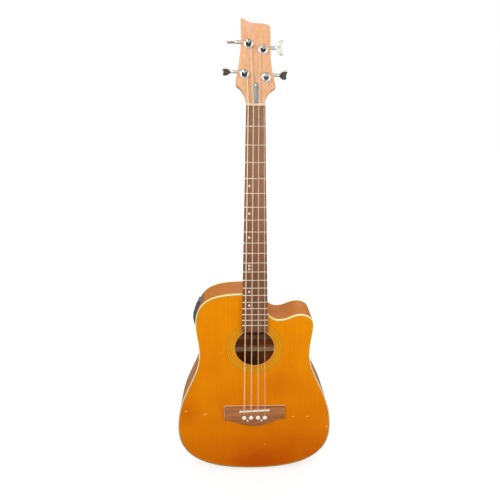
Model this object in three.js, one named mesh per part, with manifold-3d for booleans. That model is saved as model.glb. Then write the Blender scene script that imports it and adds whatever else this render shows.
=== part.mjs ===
// Four-string acoustic-electric bass guitar with one cutaway, in millimetres.
// Z runs up the neck, the soundboard faces -Y, and +X is the cutaway (treble) side.
// The origin is the centre of the end pin's outer face, at the tail.
import * as THREE from 'three';
import { mergeVertices } from 'three/addons/utils/BufferGeometryUtils.js';
import Module from 'manifold-3d';

const wasm = await Module();
wasm.setup();

// Driving dimensions. Every place below is worked out from these and from the
// named sizes kept beside each piece.
const scaleLength = 812.8;       // nut to the theoretical saddle line
const fit = {
  glue: 0.1,                     // between glued faces that lie square to the axes
  seat: 0.3,                     // between pieces that are cut to each other or turned
  loose: 0.6,                    // where one piece passes or turns inside another
  overrun: 6,                    // how far a cutter runs past what it cuts
};
const body = {
  length: 550.2,
  tailDepth: 118,
  shoulderDepth: 104,
  saddleHeightShare: 0.378,      // how far up the body the saddle line lies
  lowerHalf: 218.6,              // half widths of the lower bout, the waist and the upper bout
  waistHalf: 151.7,
  upperHalf: 159.3,
  lowerHeightShare: 0.2557,      // how far up the body each of these lies
  waistHeightShare: 0.6807,
  upperHeightShare: 0.8324,
  shoulderStart: 34.4,           // where the bass shoulder runs flat into the neck
  topThickness: 3.2,
  backThickness: 3,
  rimThickness: 2.4,
};
// The cutaway's horn, its lowest place and where it meets the neck block: shares of the
// way out from the neck block's side to the upper bout, and up from there to the top.
const cutaway = {
  neckSideX: 31,
  hornOutShare: 0.717,
  hornUpShare: 0.347,
  scoopOutShare: 0.271,
  scoopUpShare: 0.192,
  neckSideUpShare: 0.607,
};
const endPin = {
  stand: 12, headRadius: 8.5, neckRadius: 4.2, collarRadius: 9, collar: 3, flare: 4.8, collarEdge: 1,
  shank: 26, sides: 16,
};
const neckSize = { nutWidth: 45, boardEndWidth: 70.5, nutDepth: 15.2, heelEndDepth: 19 };
const headSize = { tiltDegrees: 12, thickness: 15, length: 193.5, half: 47, faceLift: 1 };

const tailZ = endPin.stand;
const heightOnBody = (share) => tailZ + body.length * share;
const saddleZ = heightOnBody(body.saddleHeightShare);
const nutZ = saddleZ + scaleLength;
const topZ = tailZ + body.length;
const upperZ = heightOnBody(body.upperHeightShare);
const faceY = -body.tailDepth / 2;        // outer face of the soundboard
const backSlope = (body.tailDepth - body.shoulderDepth) / body.length;
const backY = (z) => faceY + body.tailDepth - backSlope * (z - tailZ);

// Finishes: colour, roughness, metalness.
const finish = {
  topWood: [0xe88900, 0.3, 0],
  sideWood: [0x8f4a22, 0.35, 0],
  innerWood: [0xc79a66, 0.8, 0],
  neckWood: [0xe3a472, 0.4, 0],
  rosewood: [0x5d3a2b, 0.55, 0],
  binding: [0xf6e6a8, 0.35, 0],
  bone: [0xf4eedf, 0.4, 0],
  chrome: [0xd8dadd, 0.15, 1],
  steel: [0x8d8f93, 0.35, 1],
  coverMetal: [0x8b93a1, 0.4, 0.8],
  blackPlastic: [0x1b1a1c, 0.45, 0],
  bronze: [0xd9b48a, 0.35, 1],
};

// Solids

const toRadians = (degrees) => THREE.MathUtils.degToRad(degrees);

function solid(geometry) {
  const bare = geometry.clone();
  bare.deleteAttribute('normal');
  bare.deleteAttribute('uv');
  const merged = mergeVertices(bare);
  const points = merged.attributes.position;
  let triangles = merged.index;
  let volume = 0;
  const corner = [new THREE.Vector3(), new THREE.Vector3(), new THREE.Vector3()];
  for (let i = 0; i < triangles.count; i += 3) {
    corner.forEach((v, k) => v.fromBufferAttribute(points, triangles.getX(i + k)));
    volume += corner[0].dot(corner[1].cross(corner[2]));
  }
  const order = Array.from(triangles.array);
  if (volume < 0) order.reverse();
  return new wasm.Manifold(new wasm.Mesh({
    numProp: 3,
    vertProperties: new Float32Array(points.array),
    triVerts: new Uint32Array(order),
  }));
}

function geometryOf(manifold) {
  const mesh = manifold.getMesh();
  const geometry = new THREE.BufferGeometry();
  geometry.setAttribute('position', new THREE.BufferAttribute(new Float32Array(mesh.vertProperties), 3));
  geometry.setIndex(new THREE.BufferAttribute(new Uint32Array(mesh.triVerts), 1));
  geometry.computeVertexNormals();
  return geometry;
}

const cut = (base, ...tools) => tools.reduce((left, tool) => left.subtract(tool), base);
const join = (...parts) => parts.reduce((all, part) => all.add(part));

// A flat outline given in X and Z, thickened from one Y to another.
function slab(points, fromY, toY, holes = []) {
  const shape = new THREE.Shape(points);
  holes.forEach((hole) => shape.holes.push(new THREE.Path(hole)));
  const geometry = new THREE.ExtrudeGeometry(shape, { depth: toY - fromY, bevelEnabled: false });
  geometry.rotateX(Math.PI / 2);
  return geometry.translate(0, toY, 0);
}

function box(lowX, highX, lowY, highY, lowZ, highZ) {
  const geometry = new THREE.BoxGeometry(highX - lowX, highY - lowY, highZ - lowZ);
  return geometry.translate((lowX + highX) / 2, (lowY + highY) / 2, (lowZ + highZ) / 2);
}

// A round piece: rows of [radius, distance], turned about an axis through a place.
function turned(rows, axis, place, sides) {
  const profile = rows.map(([radius, along]) => new THREE.Vector2(radius, along));
  const geometry = new THREE.LatheGeometry(profile, sides);
  const turn = new THREE.Quaternion().setFromUnitVectors(new THREE.Vector3(0, 1, 0), axis);
  return geometry.applyQuaternion(turn).translate(place.x, place.y, place.z);
}

const rod = (radius, from, to, axis, place, sides) =>
  turned([[0, from], [radius, from], [radius, to], [0, to]], axis, place, sides);

// Moves an outline inwards by the same distance all round, with mitred corners.
const sharpestMitreShare = 0.5;
function inset(points, distance) {
  const count = points.length;
  return points.map((point, i) => {
    const before = point.clone().sub(points[(i + count - 1) % count]).normalize();
    const after = points[(i + 1) % count].clone().sub(point).normalize();
    const normal = new THREE.Vector2(-before.y - after.y, before.x + after.x).normalize();
    const reach = distance / Math.max(normal.dot(new THREE.Vector2(-after.y, after.x)), sharpestMitreShare);
    return point.clone().addScaledVector(normal, reach);
  });
}

// Tilts what lies behind a given Y so that it follows the tapering back.
function followBack(geometry, behindY) {
  const points = geometry.attributes.position;
  for (let i = 0; i < points.count; i++) {
    if (points.getY(i) > behindY) {
      points.setY(i, points.getY(i) - backSlope * (points.getZ(i) - tailZ));
    }
  }
  return geometry;
}

function mirrored(geometry) {
  const points = geometry.attributes.position;
  for (let i = 0; i < points.count; i++) points.setX(i, -points.getX(i));
  return geometry;
}

// A skin over rings of equal point counts, closed at both ends.
function loft(rings) {
  const size = rings[0].length;
  const positions = [];
  const triangles = [];
  rings.forEach((ring) => ring.forEach((p) => positions.push(p.x, p.y, p.z)));
  const centres = [rings[0], rings[rings.length - 1]].map((ring) =>
    ring.reduce((sum, p) => sum.add(p), new THREE.Vector3()).divideScalar(size));
  centres.forEach((p) => positions.push(p.x, p.y, p.z));
  const firstCentre = rings.length * size;
  for (let r = 0; r + 1 < rings.length; r++) {
    for (let i = 0; i < size; i++) {
      const a = r * size + i;
      const b = r * size + (i + 1) % size;
      triangles.push(a, b, a + size, b, b + size, a + size);
    }
  }
  const last = (rings.length - 1) * size;
  for (let i = 0; i < size; i++) {
    const next = (i + 1) % size;
    triangles.push(next, i, firstCentre);
    triangles.push(last + i, last + next, firstCentre + 1);
  }
  const geometry = new THREE.BufferGeometry();
  geometry.setAttribute('position', new THREE.Float32BufferAttribute(positions, 3));
  geometry.setIndex(triangles);
  return geometry;
}

// A curve through given points, stepped at those points.
class Route extends THREE.Curve {
  constructor(points) {
    super();
    this.points = points;
  }

  getPoint(t, target = new THREE.Vector3()) {
    const place = t * (this.points.length - 1);
    const index = Math.min(Math.floor(place), this.points.length - 2);
    return target.lerpVectors(this.points[index], this.points[index + 1], place - index);
  }

  getPointAt(t, target) {
    return this.getPoint(t, target);
  }

  getTangentAt(t, target = new THREE.Vector3()) {
    const last = this.points.length - 1;
    const index = Math.round(t * last);
    const before = this.points[Math.max(index - 1, 0)];
    const after = this.points[Math.min(index + 1, last)];
    return target.subVectors(after, before).normalize();
  }

  getSpacedPoints() {
    return this.points;
  }
}

function tube(points, radius, sides) {
  const ring = [];
  for (let i = 0; i < sides; i++) {
    const angle = (2 * Math.PI * i) / sides;
    ring.push(new THREE.Vector2(radius * Math.cos(angle), radius * Math.sin(angle)));
  }
  return new THREE.ExtrudeGeometry(new THREE.Shape(ring), {
    steps: points.length - 1,
    bevelEnabled: false,
    extrudePath: new Route(points),
  });
}

// The assembly

const guitar = new THREE.Group();

function addPiece(name, shape, look, parent = guitar) {
  const geometry = shape.isBufferGeometry ? geometryOf(solid(shape)) : geometryOf(shape);
  const [color, roughness, metalness] = look;
  const mesh = new THREE.Mesh(geometry, new THREE.MeshStandardMaterial({ color, roughness, metalness }));
  mesh.name = name;
  parent.add(mesh);
  return mesh;
}

// Body outline: curves between the tail, the two bouts, the waist and the neck joint.
// Each row of shares gives how far the two handles of one curve reach.
const tailHandleShares = [0.634, 0.722];
const waistHandleShares = [0.454, 0.31];
const upperHandleShares = [0.427, 0.299];
const shoulderHandleShares = [0.744, 0.707];
const hornHandleShares = [0.712, 0.514];
const scoopHandleShares = [0.414, 0.464];
const neckSideHandleShares = [0.571, 0.591];
const curveSteps = 7;

function bodyOutline() {
  const mix = THREE.MathUtils.lerp;
  const { lowerHalf, waistHalf, upperHalf, shoulderStart } = body;
  const { neckSideX } = cutaway;
  const lowerZ = mix(tailZ, topZ, body.lowerHeightShare);
  const waistZ = mix(tailZ, topZ, body.waistHeightShare);
  const hornZ = mix(upperZ, topZ, cutaway.hornUpShare);
  const scoopZ = mix(upperZ, topZ, cutaway.scoopUpShare);
  const sideZ = mix(upperZ, topZ, cutaway.neckSideUpShare);
  const hornX = mix(neckSideX, upperHalf, cutaway.hornOutShare);
  const scoopX = mix(neckSideX, upperHalf, cutaway.scoopOutShare);
  const shape = new THREE.Shape();
  const sideCurves = (s) => [
    [s * mix(0, lowerHalf, tailHandleShares[0]), tailZ,
      s * lowerHalf, mix(lowerZ, tailZ, tailHandleShares[1]), s * lowerHalf, lowerZ],
    [s * lowerHalf, mix(lowerZ, waistZ, waistHandleShares[0]),
      s * waistHalf, mix(waistZ, lowerZ, waistHandleShares[1]), s * waistHalf, waistZ],
    [s * waistHalf, mix(waistZ, upperZ, upperHandleShares[0]),
      s * upperHalf, mix(upperZ, waistZ, upperHandleShares[1]), s * upperHalf, upperZ],
  ];
  shape.moveTo(0, tailZ);
  sideCurves(1).forEach((curve) => shape.bezierCurveTo(...curve));
  shape.bezierCurveTo(upperHalf, mix(upperZ, hornZ, hornHandleShares[0]),
    mix(hornX, upperHalf, hornHandleShares[1]), hornZ, hornX, hornZ);
  shape.bezierCurveTo(mix(hornX, scoopX, scoopHandleShares[0]), hornZ,
    mix(scoopX, hornX, scoopHandleShares[1]), scoopZ, scoopX, scoopZ);
  shape.bezierCurveTo(mix(scoopX, neckSideX, neckSideHandleShares[0]), scoopZ,
    neckSideX, mix(sideZ, scoopZ, neckSideHandleShares[1]), neckSideX, sideZ);
  shape.lineTo(neckSideX, topZ);
  shape.lineTo(-shoulderStart, topZ);
  const rising = shape.getPoints(curveSteps);
  const bass = new THREE.Shape();
  bass.moveTo(0, tailZ);
  sideCurves(-1).forEach((curve) => bass.bezierCurveTo(...curve));
  bass.bezierCurveTo(-upperHalf, mix(upperZ, topZ, shoulderHandleShares[0]),
    mix(-shoulderStart, -upperHalf, shoulderHandleShares[1]), topZ, -shoulderStart, topZ);
  const falling = bass.getPoints(curveSteps).reverse();
  return rising.slice(0, -1).concat(falling.slice(0, -1));
}

const outline = bodyOutline();
const circle = (x, z, radius, sides) => Array.from({ length: sides }, (_, i) => {
  const angle = (2 * Math.PI * i) / sides;
  return new THREE.Vector2(x + radius * Math.cos(angle), z + radius * Math.sin(angle));
});

// Bindings, soundboard, back and rims

const binding = { width: 2.6, depth: 6.5, backDepth: 5 };
const soundhole = { radius: 54, heightShare: 0.7156, sides: 40 };
const holeZ = heightOnBody(soundhole.heightShare);
const plateEdge = inset(outline, binding.width + fit.glue);

function ringSlab(outer, inner, fromY, toY) {
  return slab(outer, fromY, toY, [inner.slice().reverse()]);
}

const bindingInner = inset(outline, binding.width);
const topBinding = ringSlab(outline, bindingInner, faceY, faceY + binding.depth);
const backBinding = followBack(
  ringSlab(outline, bindingInner, faceY + body.tailDepth - binding.backDepth, faceY + body.tailDepth),
  faceY);

const topInnerY = faceY + body.topThickness;
const backInnerAtTail = faceY + body.tailDepth - body.backThickness;
const soundboardBlank = slab(plateEdge, faceY, topInnerY,
  [circle(0, holeZ, soundhole.radius, soundhole.sides)]);
const backPlate = followBack(slab(plateEdge, backInnerAtTail, faceY + body.tailDepth), faceY);

const rimInner = inset(outline, body.rimThickness);
const rimFrontY = faceY + binding.depth + fit.glue;
const rimBackAtTail = faceY + body.tailDepth - binding.backDepth - fit.glue;
const rimRing = solid(followBack(ringSlab(outline, rimInner, rimFrontY, rimBackAtTail), 0));

// Linings, the neck block and the tail block

const lining = { width: 6, depth: 13 };
const neckBlockSize = { halfWidth: 44, length: 68 };
const tailBlockSize = { halfWidth: 56, length: 19 };
const liningInner = inset(outline, binding.width + fit.glue + lining.width);
const topLining = ringSlab(plateEdge, liningInner, topInnerY + fit.glue, topInnerY + fit.glue + lining.depth);
const backLiningRing = (width, depth) => followBack(
  ringSlab(plateEdge, inset(outline, binding.width + fit.glue + width),
    backInnerAtTail - fit.glue - depth, backInnerAtTail - fit.glue), faceY);
const backLining = backLiningRing(lining.width, lining.depth);

function blockBetweenPlates(lowX, highX, lowZ, highZ) {
  const full = solid(followBack(
    slab(inset(outline, binding.width + fit.glue), topInnerY + fit.glue, backInnerAtTail - fit.glue), 0));
  const bounds = solid(box(lowX, highX, faceY, faceY + body.tailDepth, lowZ, highZ));
  const liningSpace = (fromY, toY, follows) => {
    const ring = ringSlab(outline, inset(outline, binding.width + fit.glue + lining.width + fit.seat),
      fromY, toY);
    return solid(follows ? followBack(ring, faceY) : ring);
  };
  const frontSpace = liningSpace(faceY, topInnerY + lining.depth + fit.seat, false);
  const backSpace = liningSpace(backInnerAtTail - lining.depth - fit.seat, faceY + body.tailDepth, true);
  return cut(full.intersect(bounds), frontSpace, backSpace);
}

const upZ = new THREE.Vector3(0, 0, 1);
const acrossY = new THREE.Vector3(0, 1, 0);
const sideX = new THREE.Vector3(1, 0, 0);

// Output jack in the tail, beside the end pin

const jack = {
  x: 36, flangeRadius: 10.5, flange: 3.5, sleeveRadius: 6, boreRadius: 3.4, boreDepth: 30,
  bodyRadius: 8, bodyLength: 12, hole: 0.4, sides: 16,
};
const jackPlace = new THREE.Vector3(jack.x, 0, tailZ);
const blockInnerZ = tailZ + binding.width + fit.glue + tailBlockSize.length;

function jackShape() {
  const inside = blockInnerZ + fit.seat - tailZ;
  const outer = turned([
    [0, -jack.flange - fit.seat],
    [jack.flangeRadius, -jack.flange - fit.seat],
    [jack.flangeRadius, -fit.seat],
    [jack.sleeveRadius, -fit.seat],
    [jack.sleeveRadius, inside],
    [jack.bodyRadius, inside],
    [jack.bodyRadius, inside + jack.bodyLength],
    [0, inside + jack.bodyLength],
  ], upZ, jackPlace, jack.sides);
  const bore = rod(jack.boreRadius, -jack.flange - fit.overrun, jack.boreDepth - jack.flange,
    upZ, jackPlace, jack.sides);
  return cut(solid(outer), solid(bore));
}

const jackHole = () => solid(rod(jack.sleeveRadius + jack.hole, -fit.overrun,
  tailBlockSize.length + fit.overrun + binding.width, upZ, jackPlace, jack.sides));

// End pin: a turned strap button on a tapered shank through the tail block

function endPinShape() {
  return turned([
    [0, 0],
    [endPin.headRadius, 0],
    [endPin.headRadius, endPin.collar],
    [endPin.neckRadius, endPin.flare],
    [endPin.neckRadius, endPin.stand - endPin.collar],
    [endPin.collarRadius, endPin.stand - fit.seat - endPin.collarEdge],
    [endPin.collarRadius, endPin.stand - fit.seat],
    [endPin.neckRadius, endPin.stand - fit.seat],
    [endPin.neckRadius, endPin.stand + endPin.shank],
    [0, endPin.stand + endPin.shank],
  ], upZ, new THREE.Vector3(), endPin.sides);
}

const endPinHole = () => solid(rod(endPin.neckRadius + fit.seat, 0, endPin.stand + endPin.shank + fit.overrun,
  upZ, new THREE.Vector3(), endPin.sides));

// Preamplifier in the bass-side upper bout: panel, box, four knobs and a battery drawer

// The panel stands out from the side in a shallow arc; the knobs are sunk in it and the
// drawer's face lies flush with it.
const preamp = {
  aboveUpperBout: 18, length: 92, height: 50, panel: 1.8, boxDepth: 38, boxLength: 80, boxHeight: 42,
  arcRadius: 62, arcStand: 7.7, arcDrop: 5, below: 31, above: 37, arcHeight: 45, arcSides: 96,
  knobCount: 4, knobPitch: 15, knobRow: -11.5, knobRadius: 6.2, knobSink: 4.5, knobStand: 1.3,
  knobStep: 0.9, knobSides: 12,
};
const drawer = { length: 54, height: 17, depth: 30, faceDepth: 4.7, faceRim: 2, row: 10.5, gap: 0.4 };
const preampZ = upperZ + preamp.aboveUpperBout;
const preampArc = new THREE.Vector3(preamp.arcRadius - body.upperHalf - preamp.arcStand, 0,
  preampZ - preamp.arcDrop);
const preampY = faceY + (backY(preampZ) - faceY) / 2;

const preampWindow = () => solid(box(-body.upperHalf - fit.overrun, -body.upperHalf + preamp.boxDepth,
  preampY - preamp.boxHeight / 2 - fit.seat, preampY + preamp.boxHeight / 2 + fit.seat,
  preampZ - preamp.boxLength / 2 - fit.seat, preampZ + preamp.boxLength / 2 + fit.seat));

function preampPod(fromY, toY) {
  const round = solid(rod(preamp.arcRadius, fromY, toY, acrossY, preampArc, preamp.arcSides));
  return round.intersect(solid(box(-body.lowerHalf, preampArc.x, fromY, toY,
    preampZ - preamp.below, preampZ + preamp.above)));
}

function drawerBlock(gap) {
  const y = preampY + drawer.row;
  const high = drawer.height / 2 + gap;
  const long = drawer.length / 2 + gap;
  const tray = solid(box(-body.lowerHalf, -body.upperHalf + drawer.depth + gap,
    y - high, y + high, preampZ - long, preampZ + long));
  const face = solid(box(-body.lowerHalf, -body.upperHalf + drawer.faceDepth + gap,
    y - high - drawer.faceRim, y + high + drawer.faceRim,
    preampZ - long - drawer.faceRim, preampZ + long + drawer.faceRim));
  return join(tray, face);
}

function knobPlace(index) {
  const z = preampZ + (index - (preamp.knobCount - 1) / 2) * preamp.knobPitch;
  const climb = Math.asin((z - preampArc.z) / preamp.arcRadius);
  const facing = new THREE.Vector3(-Math.cos(climb), 0, Math.sin(climb));
  const place = preampArc.clone().addScaledVector(facing, preamp.arcRadius);
  return { place: place.setY(preampY + preamp.knobRow), facing };
}

function knobWell(index) {
  const { place, facing } = knobPlace(index);
  return solid(rod(preamp.knobRadius + fit.loose, -preamp.knobSink - fit.seat, fit.overrun, facing, place,
    preamp.knobSides));
}

function preampShape() {
  const sheet = slab(inset(outline, -preamp.panel - fit.seat), preampY - preamp.height / 2,
    preampY + preamp.height / 2, [inset(outline, -fit.seat).reverse()]);
  const window = solid(box(-body.upperHalf - fit.overrun, -body.upperHalf + preamp.boxDepth,
    faceY, faceY + body.tailDepth, preampZ - preamp.length / 2, preampZ + preamp.length / 2));
  const panel = solid(sheet).intersect(window);
  const inside = solid(slab(inset(outline, -fit.seat), faceY, faceY + body.tailDepth));
  const pod = cut(preampPod(preampY - preamp.arcHeight / 2, preampY + preamp.arcHeight / 2), inside);
  const boxSlab = solid(slab(inset(outline, -fit.seat - preamp.panel / 2), preampY - preamp.boxHeight / 2,
    preampY + preamp.boxHeight / 2)).intersect(solid(box(
    -body.lowerHalf, -body.upperHalf + preamp.boxDepth, faceY, faceY + body.tailDepth,
    preampZ - preamp.boxLength / 2, preampZ + preamp.boxLength / 2)));
  const wells = Array.from({ length: preamp.knobCount }, (_, i) => knobWell(i));
  return cut(join(join(panel, pod), boxSlab), drawerBlock(drawer.gap), ...wells);
}

const drawerShape = () => drawerBlock(0).intersect(preampPod(faceY, faceY + body.tailDepth));

function knobShape(index) {
  const { place, facing } = knobPlace(index);
  const { knobRadius, knobSink, knobStand, knobStep } = preamp;
  return turned([
    [0, -knobSink], [knobRadius, -knobSink], [knobRadius, knobStand - knobStep],
    [knobRadius - knobStep, knobStand], [0, knobStand],
  ], facing, place, preamp.knobSides);
}

addPiece('top_binding', topBinding, finish.binding);
addPiece('back_binding', backBinding, finish.binding);
addPiece('back', backPlate, finish.sideWood);

const halfSpace = (side) => solid(box(
  side > 0 ? fit.glue / 2 : -body.lowerHalf - fit.overrun,
  side > 0 ? body.lowerHalf + fit.overrun : -fit.glue / 2,
  faceY - fit.overrun, faceY + body.tailDepth + fit.overrun, 0, topZ + fit.overrun));

const bored = cut(rimRing, endPinHole(), jackHole());
addPiece('rim_bass', cut(bored.intersect(halfSpace(-1)), preampWindow()), finish.sideWood);
addPiece('rim_treble', bored.intersect(halfSpace(1)), finish.sideWood);
addPiece('top_lining', topLining, finish.innerWood);
addPiece('back_lining', backLining, finish.innerWood);

const blockHigh = topZ - binding.width - fit.glue;
addPiece('neck_block', blockBetweenPlates(-neckBlockSize.halfWidth, neckBlockSize.halfWidth,
  blockHigh - neckBlockSize.length, topZ), finish.innerWood);
addPiece('tail_block', cut(blockBetweenPlates(-tailBlockSize.halfWidth, tailBlockSize.halfWidth,
  tailZ, blockInnerZ), endPinHole(), jackHole()), finish.innerWood);
addPiece('end_pin', endPinShape(), finish.chrome);
addPiece('output_jack', jackShape(), finish.chrome);

addPiece('preamp_housing', preampShape(), finish.blackPlastic);
addPiece('battery_drawer', drawerShape(), finish.blackPlastic);
for (let i = 0; i < preamp.knobCount; i++) addPiece(`knob_${i + 1}`, knobShape(i), finish.blackPlastic);

// Braces under the soundboard: an X below the soundhole and one bar above it

const xBrace = { crossHeightShare: 0.5235, degrees: 38.5, width: 11, height: 14, clearance: 4 };
const upperBrace = { heightShare: 0.8324, width: 11, height: 12, degrees: 90 };
const braceEdge = inset(outline, binding.width + fit.glue + lining.width + fit.seat);

function topBar(place, width, height, down, up, degrees) {
  const bar = box(-width / 2, width / 2, topInnerY + fit.glue, topInnerY + fit.glue + height, -down, up);
  bar.rotateY(toRadians(degrees));
  return solid(bar.translate(0, 0, place));
}

const braceRoom = solid(slab(braceEdge, faceY, faceY + body.tailDepth));
const crossZ = heightOnBody(xBrace.crossHeightShare);
const upperBraceZ = heightOnBody(upperBrace.heightShare);
// The upper legs stop short of the bar above the soundhole.
const xAngle = toRadians(xBrace.degrees);
const reachUp = (upperBraceZ - upperBrace.width / 2 - xBrace.clearance - crossZ
  - (xBrace.width / 2) * Math.sin(xAngle)) / Math.cos(xAngle);
addPiece('x_brace', join(
  topBar(crossZ, xBrace.width, xBrace.height, body.length, reachUp, xBrace.degrees),
  topBar(crossZ, xBrace.width, xBrace.height, body.length, reachUp, -xBrace.degrees),
).intersect(braceRoom), finish.innerWood);
addPiece('upper_brace', topBar(upperBraceZ, upperBrace.width, upperBrace.height,
  body.lowerHalf, body.lowerHalf, upperBrace.degrees).intersect(braceRoom), finish.innerWood);

// Braces and centre strip inside the back

const backBrace = { width: 15, height: 14 };
const backBraceHeightShares = [0.2327, 0.618, 0.6907, 0.8106];
const backStrip = { width: 16, thickness: 2.5, start: 46, endHeightShare: 0.85 };

function backBar(z, lowX, highX, width, height) {
  return followBack(box(lowX, highX, backInnerAtTail - fit.glue - height, backInnerAtTail - fit.glue,
    z - width / 2, z + width / 2), faceY);
}

const stripSpace = (grow) => solid(followBack(box(-backStrip.width / 2 - grow, backStrip.width / 2 + grow,
  backInnerAtTail - fit.glue - backStrip.thickness - grow, backInnerAtTail - fit.glue + grow,
  tailZ + backStrip.start - grow, heightOnBody(backStrip.endHeightShare) + grow), faceY));
addPiece('back_strip', stripSpace(0), finish.innerWood);
backBraceHeightShares.forEach((share, i) => {
  const bar = solid(backBar(heightOnBody(share), -body.lowerHalf, body.lowerHalf,
    backBrace.width, backBrace.height));
  addPiece(`back_brace_${i + 1}`, cut(bar.intersect(braceRoom), stripSpace(fit.seat)), finish.innerWood);
});

// Bridge, saddle, pickup, bridge plate and pins

const stringSpec = [
  { name: 'e', radius: 1.335 },
  { name: 'a', radius: 1.08 },
  { name: 'd', radius: 0.825 },
  { name: 'g', radius: 0.57 },
];
const spacing = { saddle: 19.5, nut: 12.15, nutShift: 0.9 };
const bridge = {
  halfWidth: 85, thickness: 8.6, topEdge: 3, bassEnd: 38.5, trebleEnd: 35, apexX: -1, apexDrop: 56.5,
  flatRun: 14, edgeDip: 3.5, rampDepth: 1.6, curveSteps: 6,
};
const saddle = {
  length: 85, width: 3.2, slotDepth: 6, crown: 14.2, slope: 2.6, centreDrop: 5.6, clearance: 0.2,
};
const pickup = { height: 1.5 };
const pin = {
  drop: 29.4, headRadius: 5.4, headHeight: 2.6, shankRadius: 2.6, tipRadius: 2.1, length: 22, sides: 12,
};
const bridgePlate = { halfWidth: 45, thickness: 2.8, top: 5, bottom: 50 };
const ball = { radius: 2.4, length: 3.2, sides: 10 };

const bridgeFaceY = faceY - fit.glue - bridge.thickness;
const middleString = (stringSpec.length - 1) / 2;
const saddleX = (index) => (index - middleString) * spacing.saddle;
const nutX = (index) => (index - middleString) * spacing.nut + spacing.nutShift;
const saddleLineZ = (x) => saddleZ - saddle.centreDrop + x * Math.tan(toRadians(saddle.slope));
const pinZ = saddleZ - pin.drop;
const slotOffset = (spec) => pin.shankRadius + fit.seat + spec.radius + fit.seat;

function bridgeOutline() {
  const { halfWidth, topEdge, bassEnd, trebleEnd, apexX, apexDrop, flatRun, edgeDip } = bridge;
  const shape = new THREE.Shape();
  shape.moveTo(-halfWidth, saddleZ + topEdge);
  shape.lineTo(-halfWidth, saddleZ - bassEnd);
  shape.lineTo(-halfWidth + flatRun, saddleZ - bassEnd);
  shape.quadraticCurveTo((apexX - halfWidth) / 2, saddleZ - (bassEnd + apexDrop) / 2 - edgeDip,
    apexX - flatRun, saddleZ - apexDrop);
  shape.lineTo(apexX + flatRun, saddleZ - apexDrop);
  shape.quadraticCurveTo((apexX + halfWidth) / 2, saddleZ - (trebleEnd + apexDrop) / 2 - edgeDip,
    halfWidth - flatRun, saddleZ - trebleEnd);
  shape.lineTo(halfWidth, saddleZ - trebleEnd);
  shape.lineTo(halfWidth, saddleZ + topEdge);
  return shape.getPoints(bridge.curveSteps);
}

function saddleBar(halfLength, halfWidth, fromY, toY) {
  const bar = box(-halfLength, halfLength, fromY, toY, -halfWidth, halfWidth);
  bar.rotateY(-toRadians(saddle.slope));
  return solid(bar.translate(0, 0, saddleZ - saddle.centreDrop));
}

// Where each string passes down through the bridge, beside its pin.
function stringWell(index, grow) {
  const spec = stringSpec[index];
  const x = saddleX(index);
  const z = pinZ + slotOffset(spec);
  const half = spec.radius + grow;
  return solid(box(x - half, x + half, bridgeFaceY - fit.overrun,
    topInnerY + bridgePlate.thickness + fit.overrun, pinZ, z + half));
}

function stringRamp(index) {
  const spec = stringSpec[index];
  const x = saddleX(index);
  const half = spec.radius + fit.seat;
  return solid(box(x - half, x + half, bridgeFaceY - fit.overrun,
    bridgeFaceY + bridge.rampDepth + spec.radius + fit.loose,
    pinZ, saddleLineZ(x) - saddle.width - fit.seat));
}

const pinHole = (index) => solid(rod(pin.shankRadius + fit.seat, bridgeFaceY - fit.overrun,
  topInnerY + pin.length, acrossY, new THREE.Vector3(saddleX(index), 0, pinZ), pin.sides));
const stringIndexes = stringSpec.map((_, i) => i);
const pinHoles = stringIndexes.map(pinHole);
const wells = stringIndexes.map((i) => stringWell(i, fit.seat));
const saddleSlot = saddleBar(saddle.length / 2 + saddle.clearance, saddle.width / 2 + saddle.clearance,
  bridgeFaceY - fit.overrun, bridgeFaceY + saddle.slotDepth);

addPiece('soundboard', cut(solid(soundboardBlank), ...pinHoles, ...wells), finish.topWood);
addPiece('bridge', cut(solid(slab(bridgeOutline(), bridgeFaceY, faceY - fit.glue)),
  saddleSlot, ...pinHoles, ...wells, ...stringIndexes.map(stringRamp)), finish.rosewood);
addPiece('bridge_plate', cut(solid(box(-bridgePlate.halfWidth, bridgePlate.halfWidth, topInnerY + fit.glue,
  topInnerY + fit.glue + bridgePlate.thickness, saddleZ - bridgePlate.bottom, saddleZ + bridgePlate.top)),
...pinHoles, ...wells), finish.innerWood);

const slotFloorY = bridgeFaceY + saddle.slotDepth - fit.glue;
addPiece('saddle_pickup', saddleBar(saddle.length / 2, saddle.width / 2,
  slotFloorY - pickup.height, slotFloorY), finish.steel);

// Strings sit on the saddle's crown, which carries a shallow notch for each.
const stringSaddleY = (index) => faceY - saddle.crown - stringSpec[index].radius;
addPiece('saddle', saddleBar(saddle.length / 2, saddle.width / 2, faceY - saddle.crown + fit.seat,
  slotFloorY - pickup.height - fit.seat), finish.bone);

// A pin's domed head, as shares of its radius and height.
const pinCrownShares = [[0, 1], [0.55, 0.92], [0.9, 0.55], [1, 0]];

function bridgePinShape(index) {
  const headBase = bridgeFaceY - fit.seat;
  const crown = pinCrownShares.map(([out, up]) => [pin.headRadius * out, headBase - pin.headHeight * up]);
  return turned([
    ...crown,
    [pin.shankRadius, headBase],
    [pin.tipRadius, headBase + pin.length],
    [0, headBase + pin.length],
  ], acrossY, new THREE.Vector3(saddleX(index), 0, pinZ), pin.sides);
}

stringSpec.forEach((spec, i) => addPiece(`bridge_pin_${spec.name}`, bridgePinShape(i), finish.bone));

// Fretboard with its frets, and the nut

const board = { thickness: 6.5, overHole: 4.2 };
const fret = { width: 2.6, height: 1.1, inset: 0.4, lastMargin: 12, arcSteps: 5 };
const semitones = 12;
const nut = { thickness: 5, action: 0.5, cover: 0.6 };
const boardZ = holeZ + soundhole.radius - board.overHole;
const widthAt = (z) => THREE.MathUtils.mapLinear(z, nutZ, boardZ, neckSize.nutWidth, neckSize.boardEndWidth);
const fretZ = (n) => saddleZ + scaleLength * 2 ** (-n / semitones);
const boardBackY = faceY - fit.glue;
const boardFaceY = boardBackY - board.thickness;

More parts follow.
